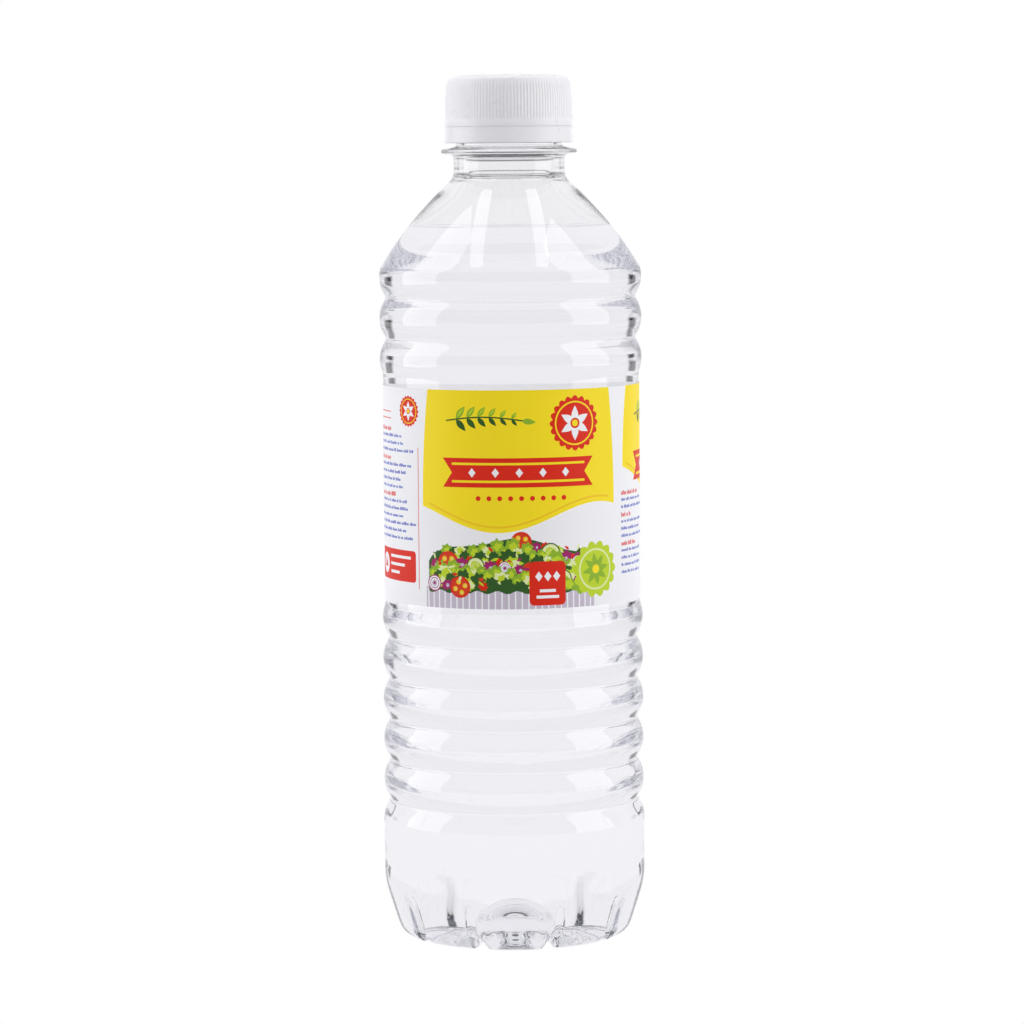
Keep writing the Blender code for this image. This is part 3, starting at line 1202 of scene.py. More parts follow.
@dataclass
class TamperBand:
    """The ring that stays on the neck, with the small bridges that hold it to the cap until it is opened."""

    top_z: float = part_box("tamper_band")[1][2] + 0.25 * MM
    bottom_z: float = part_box("tamper_band")[0][2]
    top_r: float = 15.55 * MM
    bottom_r: float = 15.68 * MM
    bore_r: float = 14.5 * MM
    columns: int = 180
    bridges: int = 12
    bridge_width: float = 0.5 * MM
    bridge_reach: float = 0.03 * MM

    def ring(self, shell: Shell) -> None:
        """Adds the closed ring.

        Args:
            shell: The mesh that takes it.
        """
        line = [
            (self.bore_r + 0.15 * MM, self.top_z + self.bridge_reach),
            (self.bore_r + 0.4 * MM, self.top_z + self.bridge_reach),
            (self.bore_r + 0.45 * MM, self.top_z),
            (self.top_r - 0.05 * MM, self.top_z),
            (self.top_r, self.top_z - 0.05 * MM),
            (self.top_r, self.top_z - 0.11 * MM),
            (self.top_r + 0.02 * MM, self.top_z - 1.4 * MM),
            (self.bottom_r, self.bottom_z + 0.7 * MM),
            (self.bottom_r, self.bottom_z + 0.22 * MM),
            (self.bottom_r, self.bottom_z + 0.15 * MM),
            (self.bottom_r - 0.15 * MM, self.bottom_z),
            (self.bore_r + 0.1 * MM, self.bottom_z),
            (self.bore_r, self.bottom_z + 0.2 * MM),
            (self.bore_r, self.top_z - 0.2 * MM),
        ]
        angles = np.arange(self.columns) * math.tau / self.columns
        rows = shell.add_points(turned_grid(np.array(line), angles))
        shell.skin(rows)
        shell.band(rows[-1], rows[0])

    def bridge(self, shell: Shell, angle: float) -> None:
        """Adds one bridge, a small wedge that stands on the ring and nearly meets the cap.

        Args:
            shell: The mesh that takes it.
            angle: Where round the neck it stands.
        """
        foot_r, head_r, depth = self.top_r - 0.35 * MM, self.top_r - 0.3 * MM, 0.4 * MM
        turn = Matrix.Rotation(angle, 3, "Z")
        corners = []
        for z, wide, r in (
            (self.top_z - 0.05 * MM, self.bridge_width, foot_r),
            (self.top_z + self.bridge_reach, self.bridge_width * 0.6, head_r),
        ):
            for x, y in ((r - depth, -wide / 2), (r, -wide / 2), (r, wide / 2), (r - depth, wide / 2)):
                corners.append(turn @ Vector((x, y, z)))
        numbers = shell.add_points(np.array(corners))
        for face in ((3, 2, 1, 0), (4, 5, 6, 7), (0, 1, 5, 4), (1, 2, 6, 5), (2, 3, 7, 6), (3, 0, 4, 7)):
            shell.faces.append(tuple(int(numbers[i]) for i in face))
            shell.slots.append(0)

    def build(self) -> bpy.types.Object:
        """Builds the ring and its bridges.

        Returns:
            The new object, in the scene.
        """
        shell = Shell()
        self.ring(shell)
        for i in range(self.bridges):
            self.bridge(shell, math.tau * (i + 0.35) / self.bridges)
        return shell.build("tamper_ring", [WhitePolyethylene().material()])


# The label


def placed(outline: list[Point], u: float, v: float, angle: float) -> list[Point]:
    """Turns an outline round its origin and moves that to a place.

    Args:
        outline: The outline's points.
        u: The place's first part.
        v: Its second part.
        angle: The turn in radians.

    Returns:
        The points where they have come to lie.
    """
    cos, sin = math.cos(angle), math.sin(angle)
    return [(u + x * cos - y * sin, v + x * sin + y * cos) for x, y in outline]


@dataclass
class Artwork:
    """The label's generic design, drawn flat in millimetres as filled outlines, later ones on top.

    u runs round the bottle from the middle of its front and v up from the label's lower edge.
    """

    height: float
    low: float
    high: float
    shapes: list[tuple[Ink, list[Point]]] = field(default_factory=list)

    def draw(self, ink: Ink, outline: list[Point]) -> None:
        """Adds one filled outline, kept within the film.

        Args:
            ink: Its colour.
            outline: Its points.
        """
        kept = [(min(max(u, self.low), self.high), min(max(v, 0.0), self.height)) for u, v in outline]
        area = sum(a[0] * b[1] - b[0] * a[1] for a, b in zip(kept, kept[1:] + kept[:1]))
        if abs(area) > 0.02:
            self.shapes.append((ink, kept if area > 0 else kept[::-1]))

    def bar(self, ink: Ink, u: float, v: float, wide: float, high: float, corner: float = 0.0) -> None:
        """A bar from its lower left, with square corners unless their radius is given.

        Args:
            ink: Its colour.
            u: Its left edge.
            v: Its lower edge.
            wide: Its width.
            high: Its height.
            corner: Its corners' radius.
        """
        if not corner:
            self.draw(ink, [(u, v), (u + wide, v), (u + wide, v + high), (u, v + high)])
            return
        centres = (
            (u + wide - corner, v + corner, -90),
            (u + wide - corner, v + high - corner, 0),
            (u + corner, v + high - corner, 90),
            (u + corner, v + corner, 180),
        )
        turns = [(cu, cv, math.radians(a + 18 * i)) for cu, cv, a in centres for i in range(6)]
        self.draw(ink, [(cu + corner * math.cos(t), cv + corner * math.sin(t)) for cu, cv, t in turns])

    def disc(
        self, ink: Ink, u: float, v: float, r: float, lobes: int = 0, lobe: float = 0.0, steps: int = 28
    ) -> None:
        """A disc, or a rosette with round lobes of the given height.

        Args:
            ink: Its colour.
            u: How far round its middle lies.
            v: How high its middle lies.
            r: Its radius.
            lobes: How many lobes it has.
            lobe: Their height.
            steps: The fewest points that it is drawn with.
        """
        count = max(steps, lobes * 8)
        outline = []
        for i in range(count):
            a = math.tau * i / count
            reach = r + lobe * (abs(math.cos(lobes * a / 2)) - 0.6)
            outline.append((u + reach * math.cos(a), v + reach * math.sin(a)))
        self.draw(ink, outline)

    def ring(self, ink: Ink, u: float, v: float, r: float, wide: float) -> None:
        """A round band.

        Args:
            ink: Its colour.
            u: How far round its middle lies.
            v: How high its middle lies.
            r: Its outer radius.
            wide: Its width.
        """
        steps = 26
        angles = [math.radians(360.0 * i / steps) for i in range(steps + 1)]
        outer = [(u + r * math.cos(a), v + r * math.sin(a)) for a in angles]
        inner = [(u + (r - wide) * math.cos(a), v + (r - wide) * math.sin(a)) for a in reversed(angles)]
        self.draw(ink, outer + inner)

    def leaf(self, ink: Ink, u: float, v: float, length: float, wide: float, angle: float) -> None:
        """A pointed leaf that grows from a point, at an angle in degrees.

        Args:
            ink: Its colour.
            u: How far round its foot lies.
            v: How high its foot lies.
            length: Its length.
            wide: Its width.
            angle: Which way it points, in degrees.
        """
        a = math.radians(angle)
        steps = 10
        along_leaf = [i / steps for i in range(steps + 1)]
        side = [(s * length, wide / 2 * math.sin(math.pi * s**0.8)) for s in along_leaf]
        outline = side + [(x, -y) for x, y in reversed(side[1:-1])]
        self.draw(ink, placed(outline, u, v, a))

    def curl(self, ink: Ink, u: float, v: float, r: float, draw: random.Random, ruffles: int = 7) -> None:
        """A ruffled leaf of salad seen from above.

        Args:
            ink: Its colour.
            u: How far round its middle lies.
            v: How high its middle lies.
            r: Its radius.
            draw: Where its chances come from.
            ruffles: How many ruffles its edge has.
        """
        phase = draw.uniform(0, math.tau)
        squash = draw.uniform(0.65, 1.0)
        lean = draw.uniform(0, math.tau)
        outline = []
        for i in range(28):
            a = math.tau * i / 28
            ruffle = 0.16 * math.sin(ruffles * a + phase)
            reach = r * (1 + ruffle + 0.08 * math.sin((ruffles + 4) * a - phase))
            outline.append((reach * math.cos(a), reach * math.sin(a) * squash))
        self.draw(ink, placed(outline, u, v, lean))

    def tomato(self, u: float, v: float, r: float, turn: float) -> None:
        """A slice of tomato: skin, flesh, and pockets with seeds.

        Args:
            u: How far round its middle lies.
            v: How high its middle lies.
            r: Its radius.
            turn: How far it is turned, in radians.
        """
        self.disc(Ink.RED, u, v, r)
        self.disc(Ink.TOMATO, u, v, r * 0.86)
        for i in range(4):
            a = turn + math.tau * i / 4
            pu, pv = u + 0.5 * r * math.cos(a), v + 0.5 * r * math.sin(a)
            self.disc(Ink.GOLD, pu, pv, r * 0.24, steps=12)
            self.disc(Ink.PALE, pu + 0.05 * r, pv, r * 0.08, steps=6)

    def cucumber(self, u: float, v: float, r: float, turn: float) -> None:
        """A slice of cucumber: dark peel, pale flesh and a ring of seeds.

        Args:
            u: How far round its middle lies.
            v: How high its middle lies.
            r: Its radius.
            turn: How far it is turned, in radians.
        """
        self.disc(Ink.FOREST, u, v, r)
        self.disc(Ink.PALE, u, v, r * 0.88)
        self.disc(Ink.LIME, u, v, r * 0.55, lobes=3, lobe=r * 0.12)
        for i in range(9):
            a = turn + math.tau * i / 9
            su, sv = u + 0.2 * r * math.cos(a), v + 0.2 * r * math.sin(a)
            self.leaf(Ink.PALE, su, sv, r * 0.26, r * 0.1, math.degrees(a))

    def onion(self, u: float, v: float, r: float) -> None:
        """Rings of red onion.

        Args:
            u: How far round its middle lies.
            v: How high its middle lies.
            r: Its radius.
        """
        self.disc(Ink.PLUM, u, v, r)
        self.disc(Ink.FILM, u, v, r * 0.86)
        self.ring(Ink.PLUM, u, v, r * 0.68, r * 0.1)
        self.disc(Ink.LILAC, u, v, r * 0.4)
        self.disc(Ink.PLUM, u, v, r * 0.2, steps=12)

    def film(self) -> None:
        """The bare film, which everything is printed on."""
        self.bar(Ink.FILM, self.low, 0.0, self.high - self.low, self.height)

    def yellow_field(self, left: float, wide: float, lift: float) -> None:
        """A yellow field with bowed sides, and a lower edge that rolls like a hill.

        Args:
            left: Its left edge.
            wide: Its width.
            lift: How much higher its lower edge starts at the left.
        """
        steps = 48
        edge = []
        for i in range(steps + 1):
            s = i / steps
            rise = lift * (1 - float(smooth((s - 0.28) / 0.3)))
            edge.append((left + wide * s, 21.6 + 3.4 * math.cos(math.tau * s + 0.7) + rise))
        side = [i / 12 for i in range(1, 13)]
        start, end = edge[0][1], edge[-1][1]
        right = [(left + wide - 1.8 * s**2, end + (self.height - end) * s) for s in side]
        back = [(left + 1.8 * s**2, start + (self.height - start) * s) for s in reversed(side)]
        self.draw(Ink.YELLOW, edge + right + back)
        line = [(u, v + 1.1) for u, v in edge[2:-2]]
        self.draw(Ink.GOLD, line + [(u, v + 0.45) for u, v in reversed(line)])

    def sprig(self, u: float, v: float, size: float) -> None:
        """A green sprig of leaves in pairs along a stem.

        Args:
            u: How far round its middle lies.
            v: How high its middle lies.
            size: Half its length.
        """
        stem = [(u - size + 2 * size * i / 14, v + 0.9 * math.sin(math.pi * i / 14)) for i in range(15)]
        self.draw(Ink.FOREST, stem + [(a, b - 0.35) for a, b in reversed(stem)])
        for i in range(2, 13, 2):
            reach = size * (0.42 - 0.018 * i)
            a, b = stem[i]
            self.leaf(Ink.LEAF, a, b, reach, reach * 0.42, 52)
            self.leaf(Ink.FOREST, a, b - 0.3, reach, reach * 0.42, -48)
            self.leaf(Ink.LIME, a + 0.3, b + 0.4, reach * 0.75, reach * 0.14, 52)
        self.leaf(Ink.LEAF, stem[-1][0] - 0.3, stem[-1][1] - 0.2, size * 0.36, size * 0.15, -6)

    def ribbon(self, u: float, v: float, wide: float, high: float) -> None:
        """A red ribbon with notched ends and a fine line near each edge.

        Args:
            u: How far round its middle lies.
            v: Its lower edge.
            wide: Its width.
            high: Its height.
        """
        notch = high * 0.35
        left, right = u - wide / 2, u + wide / 2
        body = [(left, v), (right, v), (right - notch, v + high / 2)]
        body += [(right, v + high), (left, v + high), (left + notch, v + high / 2)]
        self.draw(Ink.RED, body)
        for rise in (0.16, 0.76):
            self.bar(Ink.YELLOW, left + notch, v + high * rise, wide - 2 * notch, high * 0.08)
        for i in range(5):
            a = u + (i - 2) * wide * 0.15
            low, middle, top = (v + high * share for share in (0.34, 0.5, 0.66))
            self.draw(Ink.FILM, [(a, low), (a + 0.9, middle), (a, top), (a - 0.9, middle)])

    def rosette(self, u: float, v: float, r: float) -> None:
        """A green rosette with a paler middle and a ring of drops.

        Args:
            u: How far round its middle lies.
            v: How high its middle lies.
            r: Its radius.
        """
        self.disc(Ink.LIME, u, v, r, lobes=14, lobe=r * 0.16)
        self.ring(Ink.PALE, u, v, r * 0.78, r * 0.07)
        for i in range(8):
            self.leaf(Ink.LEAF, u, v, r * 0.62, r * 0.24, 45 * i + 10)
        self.disc(Ink.YELLOW, u, v, r * 0.17, steps=14)

    def badge(self, u: float, v: float, r: float) -> None:
        """A red badge with a scalloped rim, a yellow ring and a white flower.

        Args:
            u: How far round its middle lies.
            v: How high its middle lies.
            r: Its radius.
        """
        self.disc(Ink.RED, u, v, r, lobes=20, lobe=r * 0.12)
        self.ring(Ink.YELLOW, u, v, r * 0.84, r * 0.06)
        for i in range(6):
            self.leaf(Ink.FILM, u, v, r * 0.66, r * 0.3, 60 * i + 30)
        self.disc(Ink.RED, u, v, r * 0.2, steps=16)
        self.disc(Ink.YELLOW, u, v, r * 0.13, steps=14)

    def tab(self, u: float, v: float, wide: float, high: float) -> None:
        """A red tab with round corners, white bars and a diamond.

        Args:
            u: Its left edge.
            v: Its lower edge.
            wide: Its width.
            high: Its height.
        """
        self.bar(Ink.RED, u, v, wide, high, 1.2)
        middle = u + wide / 2
        for rise, share in ((0.16, 0.62), (0.30, 0.44)):
            self.bar(Ink.FILM, middle - wide * share / 2, v + high * rise, wide * share, 0.7)
        for shift in (-2.2, 0.0, 2.2):
            a, b = middle + shift, v + high * 0.66
            self.draw(Ink.FILM, [(a, b - 1.2), (a + 0.9, b), (a, b + 1.2), (a - 0.9, b)])

    def salad_slice(self, kind: int, u: float, v: float, r: float, turn: float) -> None:
        """A slice of tomato, cucumber or onion, by number.

        Args:
            kind: Which of the three it is.
            u: How far round its middle lies.
            v: How high its middle lies.
            r: Its radius.
            turn: How far it is turned, in radians.
        """
        if kind == 0:
            self.tomato(u, v, r, turn)
        elif kind == 1:
            self.cucumber(u, v, r * 0.9, turn)
        else:
            self.onion(u, v, r * 0.8)

    def salad(self, left: float, wide: float, draw: random.Random) -> None:
        """A heap of salad along the lower edge, over a strip of lilac striped cloth.

        Args:
            left: Its left edge.
            wide: Its width.
            draw: Where its chances come from.
        """
        self.bar(Ink.LILAC, left, 0.0, wide, 5.0)
        for i in range(int(wide / 1.6)):
            self.bar(Ink.FILM, left + 1.6 * i + 0.5, 0.0, 0.35, 4.6)
        steps = 48
        crest = []
        for i in range(steps + 1):
            s = i / steps
            crest.append(10.8 + 5.6 * math.sin(math.pi * s) ** 0.6 + 0.6 * math.sin(13 * s + 0.5))
        spots = [left + 0.8 + (wide - 1.6) * i / steps for i in range(steps + 1)]
        bed = [(u, 4.0 + 0.4 * math.sin(1.3 * u)) for u in spots]
        self.draw(Ink.FOREST, bed + [(u, v) for u, v in zip(spots, crest)][::-1])
        leaves = 96
        inks = (Ink.LEAF, Ink.FOREST, Ink.LIME, Ink.PLUM, Ink.LEAF)
        inks += (Ink.PALE, Ink.FOREST, Ink.RED, Ink.LIME, Ink.LEAF)
        middles = {Ink.LEAF: Ink.LIME, Ink.LIME: Ink.PALE, Ink.PALE: Ink.LIME, Ink.PLUM: Ink.LILAC}
        for i in range(leaves):
            share = (i * 0.618 + 0.1) % 1
            u = left + 2.0 + (wide - 4.0) * share
            top = float(np.interp(u, spots, crest))
            v = 5.0 + (top - 5.4) * (1 - (i + 0.5) / leaves)
            ink = inks[(i * 7) % len(inks)]
            r = draw.uniform(0.8, 1.2) if ink is Ink.RED else draw.uniform(1.1, 2.3)
            self.curl(ink, u, v, r, draw)
            if ink in middles:
                inner = 0.3 if ink is Ink.PLUM else 0.55
                self.curl(middles[ink], u + 0.2, v - 0.1, r * inner, draw, ruffles=5)
            if i % 10 == 4:
                self.salad_slice((i // 10) % 3, u, v, draw.uniform(2.0, 2.9), draw.uniform(0, 1))
        for i in range(26):
            u = left + 2.0 + (wide - 4.0) * ((i * 0.618 + 0.31) % 1)
            v = 5.4 + 8.6 * ((i * 0.755 + 0.2) % 1)
            ink = (Ink.TOMATO, Ink.PALE, Ink.PLUM, Ink.LIME, Ink.RED)[i % 5]
            self.leaf(ink, u, v, draw.uniform(1.2, 2.4), draw.uniform(0.5, 0.9), draw.uniform(0, 360))

    def small_print(
        self, left: float, top: float, wide: float, rows: int, draw: random.Random, heads: tuple[int, ...]
    ) -> None:
        """Rows of short bars in the place of small print, some of them red heads.

        Args:
            left: Where the rows start.
            top: The top of the first row.
            wide: The rows' greatest width.
            rows: How many there are.
            draw: Where the words' lengths come from.
            heads: Which rows are heads.
        """
        for row in range(rows):
            head = row in heads
            ink = Ink.RED if head else Ink.BLUE
            high = 1.05 if head else 0.75
            end = left + wide * (draw.uniform(0.35, 0.6) if head else draw.uniform(0.7, 1.0))
            u = left
            v = top - 1.75 * row - high
            while u < end:
                for _ in range(draw.randint(2, 7)):
                    wide_stroke = draw.uniform(0.28, 0.48)
                    self.bar(ink, u, v, wide_stroke, high * draw.choice((0.7, 0.7, 1.0)))
                    u += wide_stroke + 0.12
                u += 0.4

    def info_panel(self, left: float, wide: float, draw: random.Random) -> None:
        """A panel of small print beside and under thin red lines, over a red box with pale rows.

        Args:
            left: Its left edge.
            wide: Its width.
            draw: Where its chances come from.
        """
        for v in (46.0, 44.4):
            self.bar(Ink.RED, left, v, wide * 0.45, 0.22)
        self.small_print(left, 42.6, wide - 1.5, 16, draw, (0, 4, 9))
        self.bar(Ink.RED, left, 5.4, wide, 7.6, 0.9)
        self.disc(Ink.FILM, left + 4.2, 9.2, 2.5)
        self.draw(Ink.RED, [(left + 3.1, 8.3), (left + 5.3, 8.3), (left + 4.2, 10.8)])
        for row in range(3):
            self.bar(Ink.FILM, left + 8.0, 10.9 - 1.9 * row, wide - 10.0 - 2.5 * row, 0.7)
        self.bar(Ink.RED, left + wide + 1.0, 4.0, 0.22, 34.0)
        self.badge(left + wide - 2.4, 46.6, 3.6)

    def bar_pattern(self, left: float, draw: random.Random) -> None:
        """A block of upright bars, as packs carry for the till.

        Args:
            left: Its left edge.
            draw: Where its chances come from.
        """
        u = left
        end = left + 27
        while u < end:
            wide = draw.choice((0.3, 0.3, 0.6, 0.9))
            self.bar(Ink.BLUE, u, 7.0, wide, 13.0)
            u += wide + draw.choice((0.35, 0.6, 0.9))

    def front(self, left: float, wide: float, draw: random.Random, print_room: float = 0.0) -> None:
        """One front panel: the field with its motifs, over the salad and a rosette.

        Args:
            left: The panel's left edge.
            wide: Its width.
            draw: Where the leaves' shapes come from.
            print_room: How much of the lower left stays free for small print.
        """
        self.salad(left + 1.0 + print_room, wide - 8.0 - print_room, draw)
        self.yellow_field(left, wide, 8.5 if print_room else 0.0)
        middle = left + wide / 2
        self.sprig(middle - 9.0, 45.0, 9.5)
        self.badge(middle + 13.5, 44.0, 6.3)
        self.ribbon(middle - 0.5, 29.0, 38.0, 7.0)
        for i in range(9):
            self.disc(Ink.RED, middle - 10.4 + 2.6 * i, 26.4, 0.6, steps=14)
        self.rosette(left + wide - 6.4, 8.8, 6.4)
        self.tab(left + wide - 24.0, 0.8, 9.0, 10.5)

    def draw_all(self) -> None:
        """Draws the whole label, with the same words' lengths and leaves each time."""
        draw = random.Random(7)
        self.film()
        self.front(-23.4, 51.4, draw)
        self.front(31.8, 51.4, draw, 17.0)
        self.small_print(31.2, 26.9, 15.0, 12, draw, (0, 3, 7))
        self.info_panel(-46.0, 20.0, draw)
        self.small_print(-57.4, 44.0, 7.6, 20, draw, (0, 5, 12))
        self.small_print(88.0, 47.0, 40.0, 13, draw, (0, 5))
        self.bar_pattern(94.0, draw)


@dataclass
class WrapLabel:
    """The printed film, wrapped once round the straight panel and lapped over itself at the back's left."""

    radius: float = 31.3 * MM
    bottom_z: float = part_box("label")[0][2]
    top_z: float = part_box("label")[1][2]
    thickness: float = 0.06 * MM
    lap_rise: float = 0.08 * MM
    lap: float = 5.0 * MM
    lap_lead: float = 4.0 * MM
    lap_run: float = 3.0 * MM
    seam_shift: float = 35.0 * MM
    strip: float = math.radians(2.4)

    def bent(self, u: float, v: float, depth: float) -> tuple[Vector, Vector]:
        """Where a point of the flat film lies once wrapped.

        Args:
            u: Its place round the bottle, in metres from the middle of the front.
            v: Its height over the lower edge.
            depth: How far under the printed face it lies.

        Returns:
            The point and the printed face's normal there.
        """
        turn = FRONT + u / self.radius
        lap_start = math.pi * self.radius + self.seam_shift - self.lap_lead
        rise = self.lap_rise * float(smooth((u - lap_start) / self.lap_run))
        r = self.radius - depth + rise
        normal = Vector((math.cos(turn), math.sin(turn), 0.0))
        return normal * r + Vector((0.0, 0.0, self.bottom_z + v)), normal

    def flat(self) -> tuple[list[Point], list[tuple[int, ...]], list[int]]:
        """Cuts the artwork's outlines into triangles that don't overlap, each with the ink that lies on top.

        Returns:
            The points in metres, the triangles, and each triangle's slot.
        """
        low = (self.seam_shift - math.pi * self.radius) / MM
        high = (self.seam_shift + math.pi * self.radius + self.lap) / MM
        artwork = Artwork((self.top_z - self.bottom_z) / MM, low, high)
        artwork.draw_all()
        points: list[Vector] = []
        outlines: list[list[int]] = []
        for _, outline in artwork.shapes:
            outlines.append(list(range(len(points), len(points) + len(outline))))
            points += [Vector(p) for p in outline]
        edges = []
        step = self.strip * self.radius / MM
        for i in range(1, int((high - low) / step)):
            edges.append((len(points), len(points) + 1))
            points += [Vector((low + i * step, 0.0)), Vector((low + i * step, artwork.height))]
        made = delaunay_2d_cdt(points, edges, outlines, 0, 1e-4)
        places, faces, owners = made[0], made[2], made[5]
        inks = [artwork.shapes[max(owner)][0] if owner else Ink.FILM for owner in owners]
        return [(p[0] * MM, p[1] * MM) for p in places], faces, [SLOT_OF[ink] for ink in inks]

    def build(self) -> bpy.types.Object:
        """Builds the film as a closed sheet: its printed face, its white back and its cut edges.

        Returns:
            The new object, in the scene.
        """
        flat, triangles, slots = self.flat()
        count = len(flat)
        outer = [self.bent(u, v, 0.0) for u, v in flat]
        inner = [self.bent(u, v, self.thickness) for u, v in flat]
        points = [p for p, _ in outer] + [p for p, _ in inner]
        faces = [tuple(t) for t in triangles]
        back = [tuple(i + count for i in reversed(t)) for t in triangles]
        uses: dict[tuple[int, int], int] = {}
        for t in triangles:
            for a, b in zip(t, (*t[1:], t[0])):
                uses[(a, b)] = uses.get((a, b), 0) + 1
        rim = [(a, a + count, b + count, b) for a, b in uses if (b, a) not in uses]
        mesh = bpy.data.meshes.new("wrap_label")
        mesh.from_pydata([p.to_tuple() for p in points], [], faces + back + rim)
        for ink in Ink:
            mesh.materials.append(PrintedFilm(ink).material())
        white = SLOT_OF[Ink.BACK]
        mesh.polygons.foreach_set("material_index", slots + [white] * (len(back) + len(rim)))
        mesh.shade_smooth()
        normals = []
        for face in mesh.polygons:
            for corner in face.vertices:
                if face.index < len(faces):
                    normals.append(outer[corner][1])
                elif face.index < 2 * len(faces):
                    normals.append(-inner[corner - count][1])
                else:
                    normals.append(face.normal.copy())
        mesh.normals_split_custom_set(normals)
        return add_object("wrap_label", mesh)


# The studio


class Side(Enum):
    """The side of the bottle that a lamp stands on, as its sign along X."""

    LEFT = -1
    RIGHT = 1


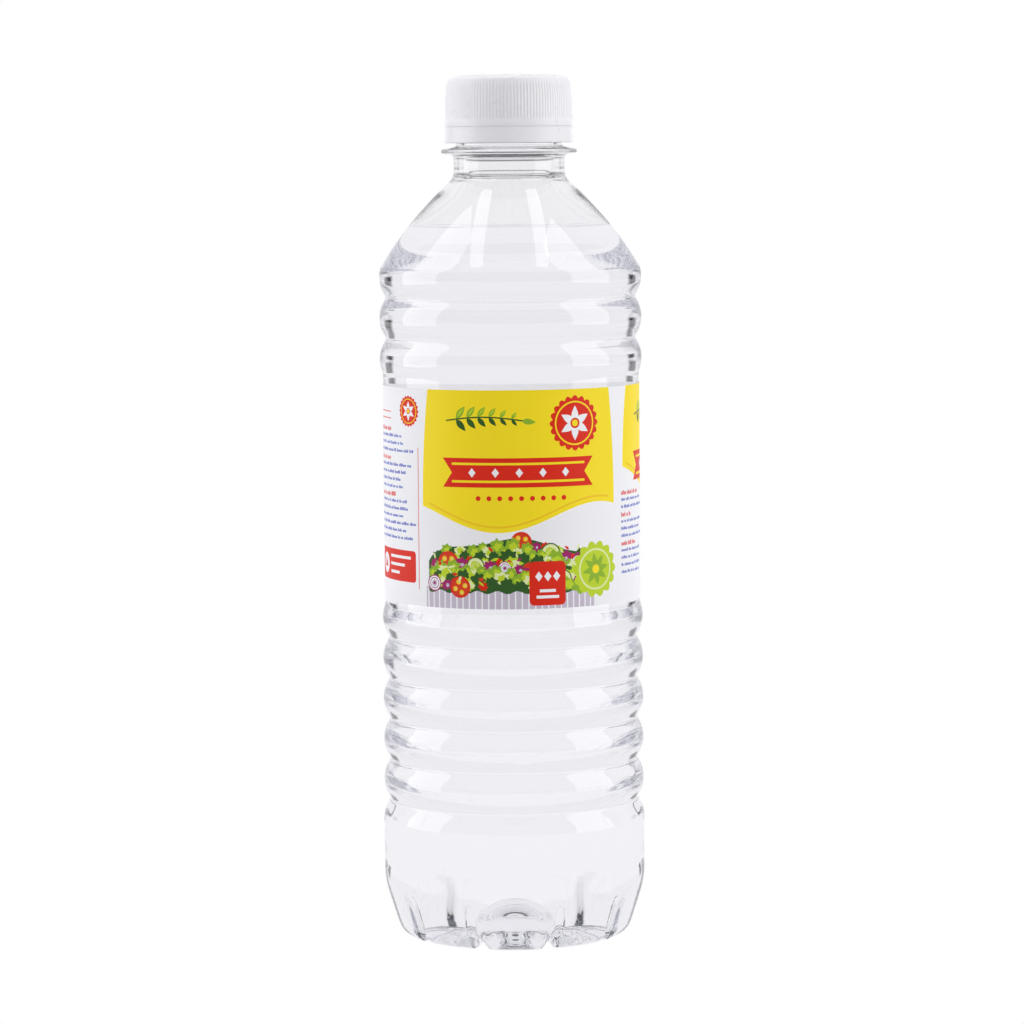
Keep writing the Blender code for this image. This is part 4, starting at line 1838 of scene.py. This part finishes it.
@dataclass
class Studio:
    """A white sweep in a white room, lamps at both sides, black flags behind, and the camera."""

    camera_place: tuple[float, float, float] = (0.0, -0.996, 0.1928)
    camera_pitch: float = math.radians(-5.11)
    camera_roll: float = math.radians(-0.48)
    lens: float = 143.7
    floor_size: float = 1.2
    # Each soft box with the angles off the view that it stands between, and its fill's share
    boxes: tuple[tuple[Side, float, float, float], ...] = (
        (Side.LEFT, 67.0, 107.0, 1.0),
        (Side.RIGHT, 57.0, 96.0, 1.4),
    )
    box_distance: float = 0.65
    box_height: float = 1.5
    box_glow: float = 1.6
    fill_glow: float = 0.8
    strip_near: Point = (0.42, 0.20)
    strip_far: Point = (0.62, -0.75)
    strip_height: float = 1.5
    strip_width: float = 0.25
    strip_glow: float = 2.0
    # Where the flags start and end aside and where they end above, as parts of a ray's direction
    flag_starts: Span = (0.65, 0.71)
    flag_ends: Span = (0.78, 0.82)
    flag_top: Span = (0.08, 0.10)
    flag_drop: float = 0.02
    flag_back: Span = (0.0, 0.1)
    flag_black: str = "#060607"
    # The room's light, how much it grows and from where to where behind, and its look in reflections
    room: str = "#BCBCBF"
    room_growth: Span = (1.0, 3.0)
    room_back: Span = (0.4, 0.8)
    room_mirrored: str = "#98989E"
    mirrored_front: Span = (-0.1, 0.45)

    def camera(self) -> None:
        """Adds the camera."""
        data = bpy.data.cameras.new("camera")
        data.lens = self.lens
        data.sensor_width = 36.0
        data.clip_start = 0.05
        obj = add_object("camera", data)
        tilt = Matrix.Rotation(math.pi / 2 + self.camera_pitch, 4, "X")
        roll = Matrix.Rotation(self.camera_roll, 4, "Z")
        obj.matrix_world = Matrix.Translation(self.camera_place) @ (tilt @ roll)
        bpy.context.scene.camera = obj

    def floor(self) -> None:
        """Adds the white sweep that the bottle stands on."""
        half = self.floor_size
        corners = [(-half, -half, 0), (half, -half, 0), (half, half, 0), (-half, half, 0)]
        mesh = bpy.data.meshes.new("floor")
        mesh.from_pydata(corners, [], [(0, 1, 2, 3)])
        mesh.materials.append(StudioPaper().material())
        add_object("floor", mesh)

    def lamp(self, name: str, size: Point, glow: float, place: Matrix, mirrored: bool = True) -> None:
        """Adds one rectangular lamp, which shows neither to the camera nor through the bottle.

        Args:
            name: The lamp's name.
            size: Its width and height.
            glow: Its radiance.
            place: Its place and turn. It shines along its -Z.
            mirrored: Whether it shows in reflections.
        """
        data = bpy.data.lights.new(name, "AREA")
        data.shape = "RECTANGLE"
        data.size, data.size_y = size
        data.energy = glow * size[0] * size[1] * math.pi
        obj = add_object(name, data)
        obj.matrix_world = place
        obj.visible_camera = False
        obj.visible_glossy = mirrored
        obj.visible_transmission = False

    def strip(self, side: Side) -> None:
        """Adds one strip light overhead, which the shoulder and the rings mirror.

        Args:
            side: The side that it hangs on.
        """
        near = Vector((side.value * self.strip_near[0], self.strip_near[1], self.strip_height))
        far = Vector((side.value * self.strip_far[0], self.strip_far[1], self.strip_height))
        run = far - near
        turn = Matrix.Rotation(math.atan2(run.y, run.x) - math.pi / 2, 4, "Z")
        place = Matrix.Translation((near + far) / 2) @ turn
        self.lamp(f"strip_{side.name.lower()}", (self.strip_width, run.length), self.strip_glow, place)

    def soft_box(self, side: Side, first: float, last: float, share: float) -> None:
        """Adds one upright soft box, and in its place a softer light that no surface mirrors.

        Args:
            side: The side that it stands on.
            first: The angle off the view, in degrees, that it starts at.
            last: The angle that it ends at.
            share: How much of the usual fill it gets.
        """
        ends = []
        for degrees in (first, last):
            a = math.radians(degrees)
            reach = self.box_distance / math.sin(a)
            ends.append(Vector((side.value * self.box_distance, -reach * math.cos(a), 0.0)))
        size = ((ends[1] - ends[0]).length, self.box_height)
        centre = (ends[0] + ends[1]) / 2 + Vector((0.0, 0.0, self.box_height / 2))
        inwards = Vector((-centre.x, -centre.y, 0.0))
        place = Matrix.Translation(centre) @ inwards.to_track_quat("-Z", "Y").to_matrix().to_4x4()
        name = f"soft_box_{side.name.lower()}"
        self.lamp(name, size, self.box_glow, place)
        self.lamp(f"{name}_fill", size, self.fill_glow * share, place, mirrored=False)

    def flags(self, nodes: Nodes, axes: bpy.types.Node) -> Socket:
        """The room as seen through the bottle, with a black flag either side of the backdrop.

        Args:
            nodes: The world's nodes.
            axes: The node that holds the three parts of the direction.

        Returns:
            The colour.
        """
        aside = nodes.math("ABSOLUTE", axes.outputs["X"])
        level = nodes.math("ABSOLUTE", nodes.math("ADD", axes.outputs["Z"], self.flag_drop))
        share = nodes.mapped(aside, self.flag_starts, eased=True)
        for limit in (
            nodes.mapped(aside, self.flag_ends, (1.0, 0.0)),
            nodes.mapped(level, self.flag_top, (1.0, 0.0)),
            nodes.mapped(axes.outputs["Y"], self.flag_back),
        ):
            share = nodes.math("MULTIPLY", share, limit)
        return nodes.mix(share, ROOM_THROUGH, self.flag_black)

    def world(self) -> None:
        """The white room: burnt out to the camera, and dimmer where it gives light or is mirrored."""
        world = bpy.data.worlds.new("studio")
        bpy.context.scene.world = world
        world.use_nodes = True
        nodes = Nodes(world.node_tree)
        ray = nodes.add("LightPath").outputs
        axes = nodes.add("SeparateXYZ", {0: nodes.add("TexCoord").outputs["Generated"]})
        through = self.flags(nodes, axes)
        behind = nodes.mapped(axes.outputs["Y"], self.room_back, self.room_growth, eased=True)
        lighting = nodes.mix(1.0, self.room, behind, "MULTIPLY")
        beyond = nodes.mapped(axes.outputs["Y"], self.mirrored_front, eased=True)
        mirrored = nodes.mix(beyond, self.room_mirrored, through)
        shown = nodes.mix(ray["Is Glossy Ray"], lighting, mirrored)
        shown = nodes.mix(ray["Is Transmission Ray"], shown, through)
        shown = nodes.mix(ray["Is Camera Ray"], shown, "#FFFFFF")
        nodes.show(nodes.add("Background", {"Color": shown, "Strength": 1.0}).outputs[0], "OutputWorld")

    def build(self) -> None:
        """Sets up the whole studio."""
        scene = bpy.context.scene
        scene.view_settings.view_transform = "Standard"
        scene.cycles.max_bounces = 96
        scene.cycles.transmission_bounces = 96
        scene.cycles.glossy_bounces = 32
        self.camera()
        self.floor()
        for side in Side:
            self.strip(side)
        for box in self.boxes:
            self.soft_box(*box)
        self.world()


def main() -> None:
    """Builds the studio and the pieces."""
    logging.basicConfig(level=logging.INFO, format="%(name)s: %(message)s")
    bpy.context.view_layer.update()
    Studio().build()
    wall = Wall()
    stand_for(PetBottle(wall).build(), "bottle", "clear_pet")
    stand_for(VinegarFill(wall).build(), "vinegar", "white_vinegar")
    stand_for(ScrewCap().build(), "cap", "white_polyethylene")
    stand_for(TamperBand().build(), "tamper_band", "white_polyethylene")
    stand_for(WrapLabel().build(), "label", "label_film")


if __name__ == "__main__":
    main()
